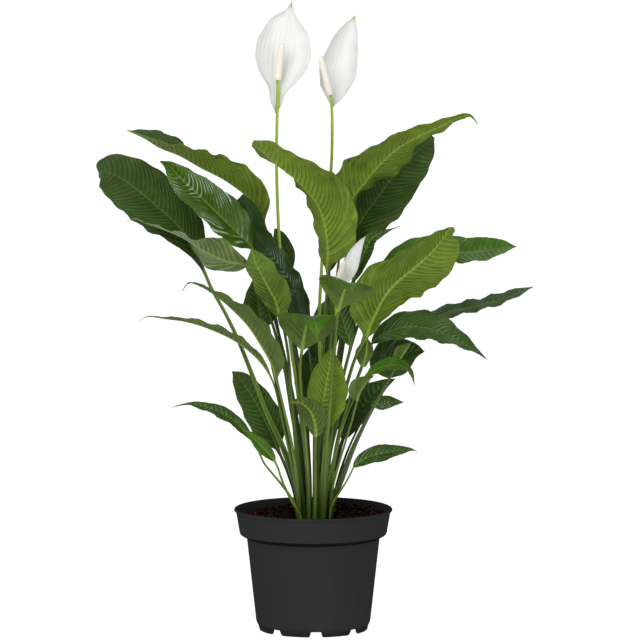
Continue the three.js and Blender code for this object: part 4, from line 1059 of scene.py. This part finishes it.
def add_bloom(name, form, context):
    sizes, colours = context.scene.peace_lily_sizes, context.scene.peace_lily_colours
    stem = form["stem"]
    path = Course([(*stem["foot"], FOOT_DEPTH), *stem["stem"]], 1)
    points, values = tube_surface(path, stem["girth"])
    values["reach"] = values["reach"] - 1
    values["tone"] = np.full(points.shape[:2], 0.5)
    green = stem_material("Flower stem", tuple(colours.stalk), shade(tuple(colours.fresh), 0.8))
    add_piece(f"lily_{name}_stem", loft(points, values), [green], name + "_stem")

    hood = {**HOOD_FORM, **form["hood"]}
    points, values, _ = blade_surface(hood, sizes, HOOD_THICKNESS, HOOD_PITCH, columns=21, rows_a_rib=3,
        crinkled=0.35)
    add_piece(f"lily_{name}_hood", loft(points, values), [hood_material(colours)], name + "_hood")

    low, high = seen([form["spike"]["from"], form["spike"]["to"]])
    low = low + unit(high - low) * SEAT
    add_piece(f"lily_{name}_spike", spike(low, high, form["spike"]["radius"], sizes.floret / MM),
        [spike_material(colours)], name + "_spike")


def spike(low, high, radius, floret):
    """A blunt rod set with florets in a spiral pattern."""
    rows, sides, florets_round = 90, 60, 9
    blunt = 0.84  # share of its length at which its end starts to round
    axis = unit(high - low)
    side = unit(np.cross(axis, (0, -1, 0)))
    upper = np.cross(side, axis)
    span = np.linalg.norm(high - low)
    t = np.linspace(0, 1, rows)[:, None]
    turn = (2 * np.pi * np.arange(sides) / sides)[None, :]
    dome = np.sqrt(np.maximum(1 - np.maximum((t - blunt) / (1 - blunt), 0) ** 2, 0.02))
    waist = 0.84 + 0.16 * smoothstep(t, 0, 0.12)
    pattern = np.cos(florets_round * turn) * np.cos(np.pi * t * span / (radius * 0.4))
    raised = 0.5 + 0.5 * np.sign(pattern) * np.abs(pattern) ** 0.7
    r = radius * dome * waist * (1 - 0.12 * t) + floret * (2 * raised - 1) * smoothstep(dome, 0.1, 0.7)
    points = ring_points(low + axis * (t * span)[..., None], side, upper, r, turn)
    return loft(points * MM, {"floret": raised})


def round_profile(corners):
    """A chain of edges in the plane y = 0 whose corners are rounded, ready to spin."""
    bm = bmesh.new()
    verts = [bm.verts.new((r * MM, 0, z * MM)) for r, z, _ in corners]
    for a, b in zip(verts, verts[1:]):
        bm.edges.new((a, b))
    for vert, (_, _, size) in list(zip(verts, corners))[1:-1]:
        if size:
            bmesh.ops.bevel(bm, geom=[vert], offset=size * MM, offset_type="OFFSET", segments=3,
                profile=0.5, affect="VERTICES", material=-1)
    return bm


def spin_round(bm, steps):
    bmesh.ops.spin(bm, geom=bm.verts[:] + bm.edges[:], cent=(0, 0, 0), axis=(0, 0, 1), dvec=(0, 0, 0),
        angle=2 * math.pi, steps=steps, use_merge=True, use_duplicate=False)
    bmesh.ops.remove_doubles(bm, verts=bm.verts, dist=1e-6)
    bmesh.ops.recalc_face_normals(bm, faces=bm.faces)
    return bm


def cut_with(name, bm, cutter):
    """The bmesh less the cutter, as a mesh."""
    mesh, tool_mesh = bpy.data.meshes.new(name), bpy.data.meshes.new(name + "_cutter")
    for source, target in ((bm, mesh), (cutter, tool_mesh)):
        source.to_mesh(target)
        source.free()
    body, tool = bpy.data.objects.new(name, mesh), bpy.data.objects.new(name + "_cutter", tool_mesh)
    for item in (body, tool):
        bpy.context.scene.collection.objects.link(item)
    modifier = body.modifiers.new("Cut", "BOOLEAN")
    modifier.object, modifier.operation, modifier.solver = tool, "DIFFERENCE", "EXACT"
    result = bpy.data.meshes.new_from_object(body.evaluated_get(bpy.context.evaluated_depsgraph_get()))
    for item in (body, tool):
        bpy.data.objects.remove(item)
    return result


def pot_cutter():
    """Eight gaps for the foot ring and a drain hole beside each."""
    bm = bmesh.new()
    for k in range(NOTCHES):
        turn = math.radians(NOTCH_TURN) + 2 * math.pi * k / NOTCHES
        half = [(x * MM, z * MM) for x, z in NOTCH]
        shape = half + [(-x, z) for x, z in reversed(half)]
        verts = [bm.verts.new((x, -NOTCH_NEAR * MM, z)) for x, z in shape]
        face = bm.faces.new(verts)
        grown = bmesh.ops.extrude_face_region(bm, geom=[face])["geom"]
        moved = [v for v in grown if isinstance(v, bmesh.types.BMVert)]
        bmesh.ops.translate(bm, verts=moved, vec=(0, -NOTCH_DEPTH * MM, 0))
        drill = bmesh.ops.create_cone(bm, cap_ends=True, segments=24, radius1=DRAIN_RADIUS * MM,
            radius2=DRAIN_RADIUS * MM, depth=DRAIN_DEPTH * MM)["verts"]
        bmesh.ops.translate(bm, verts=drill, vec=(0, -DRAIN_CIRCLE * MM, (FLOOR_LOW + FLOOR_TOP) / 2 * MM))
        bmesh.ops.rotate(bm, verts=verts + moved + drill, cent=(0, 0, 0),
            matrix=Matrix.Rotation(turn, 3, "Z"))
    bmesh.ops.recalc_face_normals(bm, faces=bm.faces)
    return bm


def make_pot(context):
    corners = [(0, FLOOR_LOW, 0)] + POT_OUTSIDE + POT_INSIDE + [(0, FLOOR_TOP, 0)]
    bm = spin_round(round_profile(corners), POT_SIDES)
    mesh = cut_with("pot_shell", bm, pot_cutter())
    for face in mesh.polygons:
        face.use_smooth = True
    mesh.set_sharp_from_angle(angle=math.radians(SHARP_ANGLE))
    place_piece("lily_pot", mesh, [pot_material(context.scene.peace_lily_colours)], "pot")


def soil_height(x, y):
    """The soil's surface in millimetres: a low mound, higher at the back right, rough with lumps."""
    reach = math.hypot(x, y) / 120
    mound = 3 * (1 - reach * reach) + 0.025 * x + 0.045 * y
    crumbs = math.sin(0.31 * x + 1) * math.sin(0.27 * y) + 0.6 * math.sin(0.53 * x - 0.41 * y)
    lumps = noise.turbulence(Vector((x, y, 0)) * 0.09, 3, False) - 0.5
    grit = noise.turbulence(Vector((x, y, 7)) * 0.3, 3, True) - 0.5
    return SOIL_EDGE + mound + 1.02 * crumbs + 4 * lumps + 2.4 * grit


def crumb_shape(chance):
    """A small uneven lump about two units wide."""
    bm = bmesh.new()
    verts = bmesh.ops.create_icosphere(bm, subdivisions=1, radius=1)["verts"]
    for v in verts:
        v.co *= chance.uniform(0.75, 1.25)
    bmesh.ops.scale(bm, verts=verts,
        vec=(chance.uniform(0.8, 1.7), chance.uniform(0.5, 1.1), chance.uniform(0.4, 0.9)))
    mesh = bpy.data.meshes.new("crumb")
    bm.to_mesh(mesh)
    bm.free()
    return mesh


def make_soil(context):
    sizes = context.scene.peace_lily_sizes
    inwards = [SOIL_RADIUS * (1 - k / SOIL_RINGS) for k in range(SOIL_RINGS + 1)]
    corners = [*SOIL_BED, *((r, SOIL_EDGE) for r in inwards)]
    bm = spin_round(round_profile([(r, z, 0) for r, z in corners]), SOIL_SIDES)
    for v in bm.verts:
        if v.co.z > (SOIL_EDGE - 0.01) * MM:
            v.co.z = soil_height(v.co.x / MM, v.co.y / MM) * MM
    chance = random.Random(7)
    shapes = [crumb_shape(chance) for _ in range(CRUMB_SHAPES)]
    for _ in range(sizes.crumbs):
        turn, reach = chance.uniform(0, 2 * math.pi), math.sqrt(chance.random()) * CRUMB_REACH
        x, y = reach * math.cos(turn), reach * math.sin(turn)
        size = sizes.crumb * chance.uniform(0.5, 1.5)
        lean = Euler((chance.uniform(-0.6, 0.6), chance.uniform(-0.6, 0.6), chance.uniform(0, 6.28)))
        spot = Vector((x * MM, y * MM, soil_height(x, y) * MM + size * 0.15))
        place = Matrix.LocRotScale(spot, lean, Vector((size, size, size)))
        shape = chance.choice(shapes)
        shape.transform(place)
        bm.from_mesh(shape)
        shape.transform(place.inverted())
    for shape in shapes:
        bpy.data.meshes.remove(shape)
    for face in bm.faces:
        face.smooth = True
    add_piece("lily_soil", bm, [soil_material(context.scene.peace_lily_colours)], "soil")


def floor_mesh():
    """A floor that bends up into a backdrop, with its faces turned to the camera."""
    half, front, back, high = STAGE
    bm = bmesh.new()
    verts = [bm.verts.new(p) for p in ((-half, front, 0), (-half, back, 0), (-half, back, high))]
    for pair in zip(verts, verts[1:]):
        bm.edges.new(pair)
    bmesh.ops.bevel(bm, geom=[verts[1]], offset=STAGE_BEND, offset_type="OFFSET", segments=16,
        profile=0.5, affect="VERTICES", material=-1)
    grown = bmesh.ops.extrude_edge_only(bm, edges=bm.edges[:])["geom"]
    moved = [v for v in grown if isinstance(v, bmesh.types.BMVert)]
    bmesh.ops.translate(bm, verts=moved, vec=(2 * half, 0, 0))
    bm.normal_update()
    bmesh.ops.reverse_faces(bm, faces=[face for face in bm.faces if face.normal.z < face.normal.y])
    for face in bm.faces:
        face.smooth = True
    mesh = bpy.data.meshes.new("floor")
    bm.to_mesh(mesh)
    bm.free()
    return mesh


def floor_material(colours):
    """Glowing white paper. Seen from behind or below it is clear, so the plant shows from all round."""
    material, n, shader = start_material("Floor paper", 0.95, 0.0)
    shader.inputs["Base Color"].default_value = (*shade(colours.floor, 0.12), 1)
    shader.inputs["Emission Color"].default_value = (*colours.floor, 1)
    shader.inputs["Emission Strength"].default_value = STAGE_GLOW
    n.feed(shader.inputs["Alpha"], n.less(1.0, n.new("NewGeometry").outputs["Backfacing"]))
    return material


def aim_at(item, place, aim):
    item.location = place
    item.rotation_euler = (Vector(aim) - item.location).to_track_quat("-Z", "Y").to_euler()
    bpy.context.scene.collection.objects.link(item)


def make_stage(context):
    scene = context.scene
    mesh = floor_mesh()
    mesh.materials.append(floor_material(scene.peace_lily_colours))
    floor = bpy.data.objects.new("floor", mesh)
    scene.collection.objects.link(floor)

    world = bpy.data.worlds.new("Studio")
    world.use_nodes = True
    sky = world.node_tree.nodes["Background"].inputs
    sky["Color"].default_value = (1, 1, 1, 1)
    sky["Strength"].default_value = SKY_STRENGTH
    scene.world = world
    for name, (place, size, energy) in LIGHTS.items():
        data = bpy.data.lights.new(name, "AREA")
        data.shape, data.size, data.energy = "DISK", size, energy
        aim_at(bpy.data.objects.new(name, data), place, LIGHT_AIM)

    camera = bpy.data.cameras.new("camera")
    camera.lens, camera.sensor_width, camera.clip_end = LENS, SENSOR, FARTHEST
    scene.camera = bpy.data.objects.new("camera", camera)
    aim_at(scene.camera, EYE * MM, Vector(AIM) * MM)
    scene.view_settings.view_transform = "Standard"


class AddLeaves:
    """What the four operators for leaves share. Each names its own leaves."""

    bl_options = {"REGISTER", "UNDO"}

    def execute(self, context):
        for name, form in self.leaves.items():
            add_leaf(name, form, context)
        return {"FINISHED"}


class PEACELILY_OT_left(AddLeaves, bpy.types.Operator):
    """Adds the thirteen leaves on the left"""

    bl_idname = "peace_lily.add_left_leaves"
    bl_label = "Left leaves"
    leaves = LEFT_LEAVES


class PEACELILY_OT_middle(AddLeaves, bpy.types.Operator):
    """Adds the six leaves in the middle"""

    bl_idname = "peace_lily.add_middle_leaves"
    bl_label = "Middle leaves"
    leaves = MIDDLE_LEAVES


class PEACELILY_OT_right(AddLeaves, bpy.types.Operator):
    """Adds the fifteen leaves on the right"""

    bl_idname = "peace_lily.add_right_leaves"
    bl_label = "Right leaves"
    leaves = RIGHT_LEAVES


class PEACELILY_OT_back(AddLeaves, bpy.types.Operator):
    """Adds the five leaves at the back"""

    bl_idname = "peace_lily.add_back_leaves"
    bl_label = "Back leaves"
    leaves = BACK_LEAVES


class PEACELILY_OT_blooms(bpy.types.Operator):
    """Adds the three blooms: stems, hoods and spikes"""

    bl_idname = "peace_lily.add_blooms"
    bl_label = "Blooms"
    bl_options = {"REGISTER", "UNDO"}

    def execute(self, context):
        for name, form in BLOOMS.items():
            add_bloom(name, form, context)
        return {"FINISHED"}


class PEACELILY_OT_pot(bpy.types.Operator):
    """Adds the black pot with its lip, collar, foot gaps and drain holes"""

    bl_idname = "peace_lily.add_pot"
    bl_label = "Pot"
    bl_options = {"REGISTER", "UNDO"}

    def execute(self, context):
        make_pot(context)
        return {"FINISHED"}


class PEACELILY_OT_soil(bpy.types.Operator):
    """Adds the soil and its crumbs"""

    bl_idname = "peace_lily.add_soil"
    bl_label = "Soil"
    bl_options = {"REGISTER", "UNDO"}

    def execute(self, context):
        make_soil(context)
        return {"FINISHED"}


class PEACELILY_OT_stage(bpy.types.Operator):
    """Adds the pale floor, the lights and the camera"""

    bl_idname = "peace_lily.add_stage"
    bl_label = "Stage"
    bl_options = {"REGISTER", "UNDO"}

    def execute(self, context):
        make_stage(context)
        return {"FINISHED"}


OPERATORS = (
    PEACELILY_OT_left, PEACELILY_OT_middle, PEACELILY_OT_right, PEACELILY_OT_back,
    PEACELILY_OT_blooms, PEACELILY_OT_pot, PEACELILY_OT_soil, PEACELILY_OT_stage,
)


class PEACELILY_PT_panel(bpy.types.Panel):
    """Lists the plant's pieces and their sizes and colours"""

    bl_idname = "PEACELILY_PT_panel"
    bl_label = "Peace lily"
    bl_space_type = "VIEW_3D"
    bl_region_type = "UI"
    bl_category = "Peace lily"

    def draw(self, context):
        layout = self.layout
        for group in (context.scene.peace_lily_sizes, context.scene.peace_lily_colours):
            box = layout.box()
            for name in group.__annotations__:
                box.prop(group, name)
        for operator in OPERATORS:
            layout.operator(operator.bl_idname)


CLASSES = (PeaceLilySizes, PeaceLilyColours, *OPERATORS, PEACELILY_PT_panel)


def register():
    for item in CLASSES:
        bpy.utils.register_class(item)
    bpy.types.Scene.peace_lily_sizes = bpy.props.PointerProperty(type=PeaceLilySizes)
    bpy.types.Scene.peace_lily_colours = bpy.props.PointerProperty(type=PeaceLilyColours)


def unregister():
    del bpy.types.Scene.peace_lily_sizes
    del bpy.types.Scene.peace_lily_colours
    for item in reversed(CLASSES):
        bpy.utils.unregister_class(item)


def main():
    register()
    lily = bpy.ops.peace_lily
    lily.add_left_leaves()
    lily.add_middle_leaves()
    lily.add_right_leaves()
    lily.add_back_leaves()
    lily.add_blooms()
    lily.add_pot()
    lily.add_soil()
    lily.add_stage()


if __name__ == "__main__":
    main()
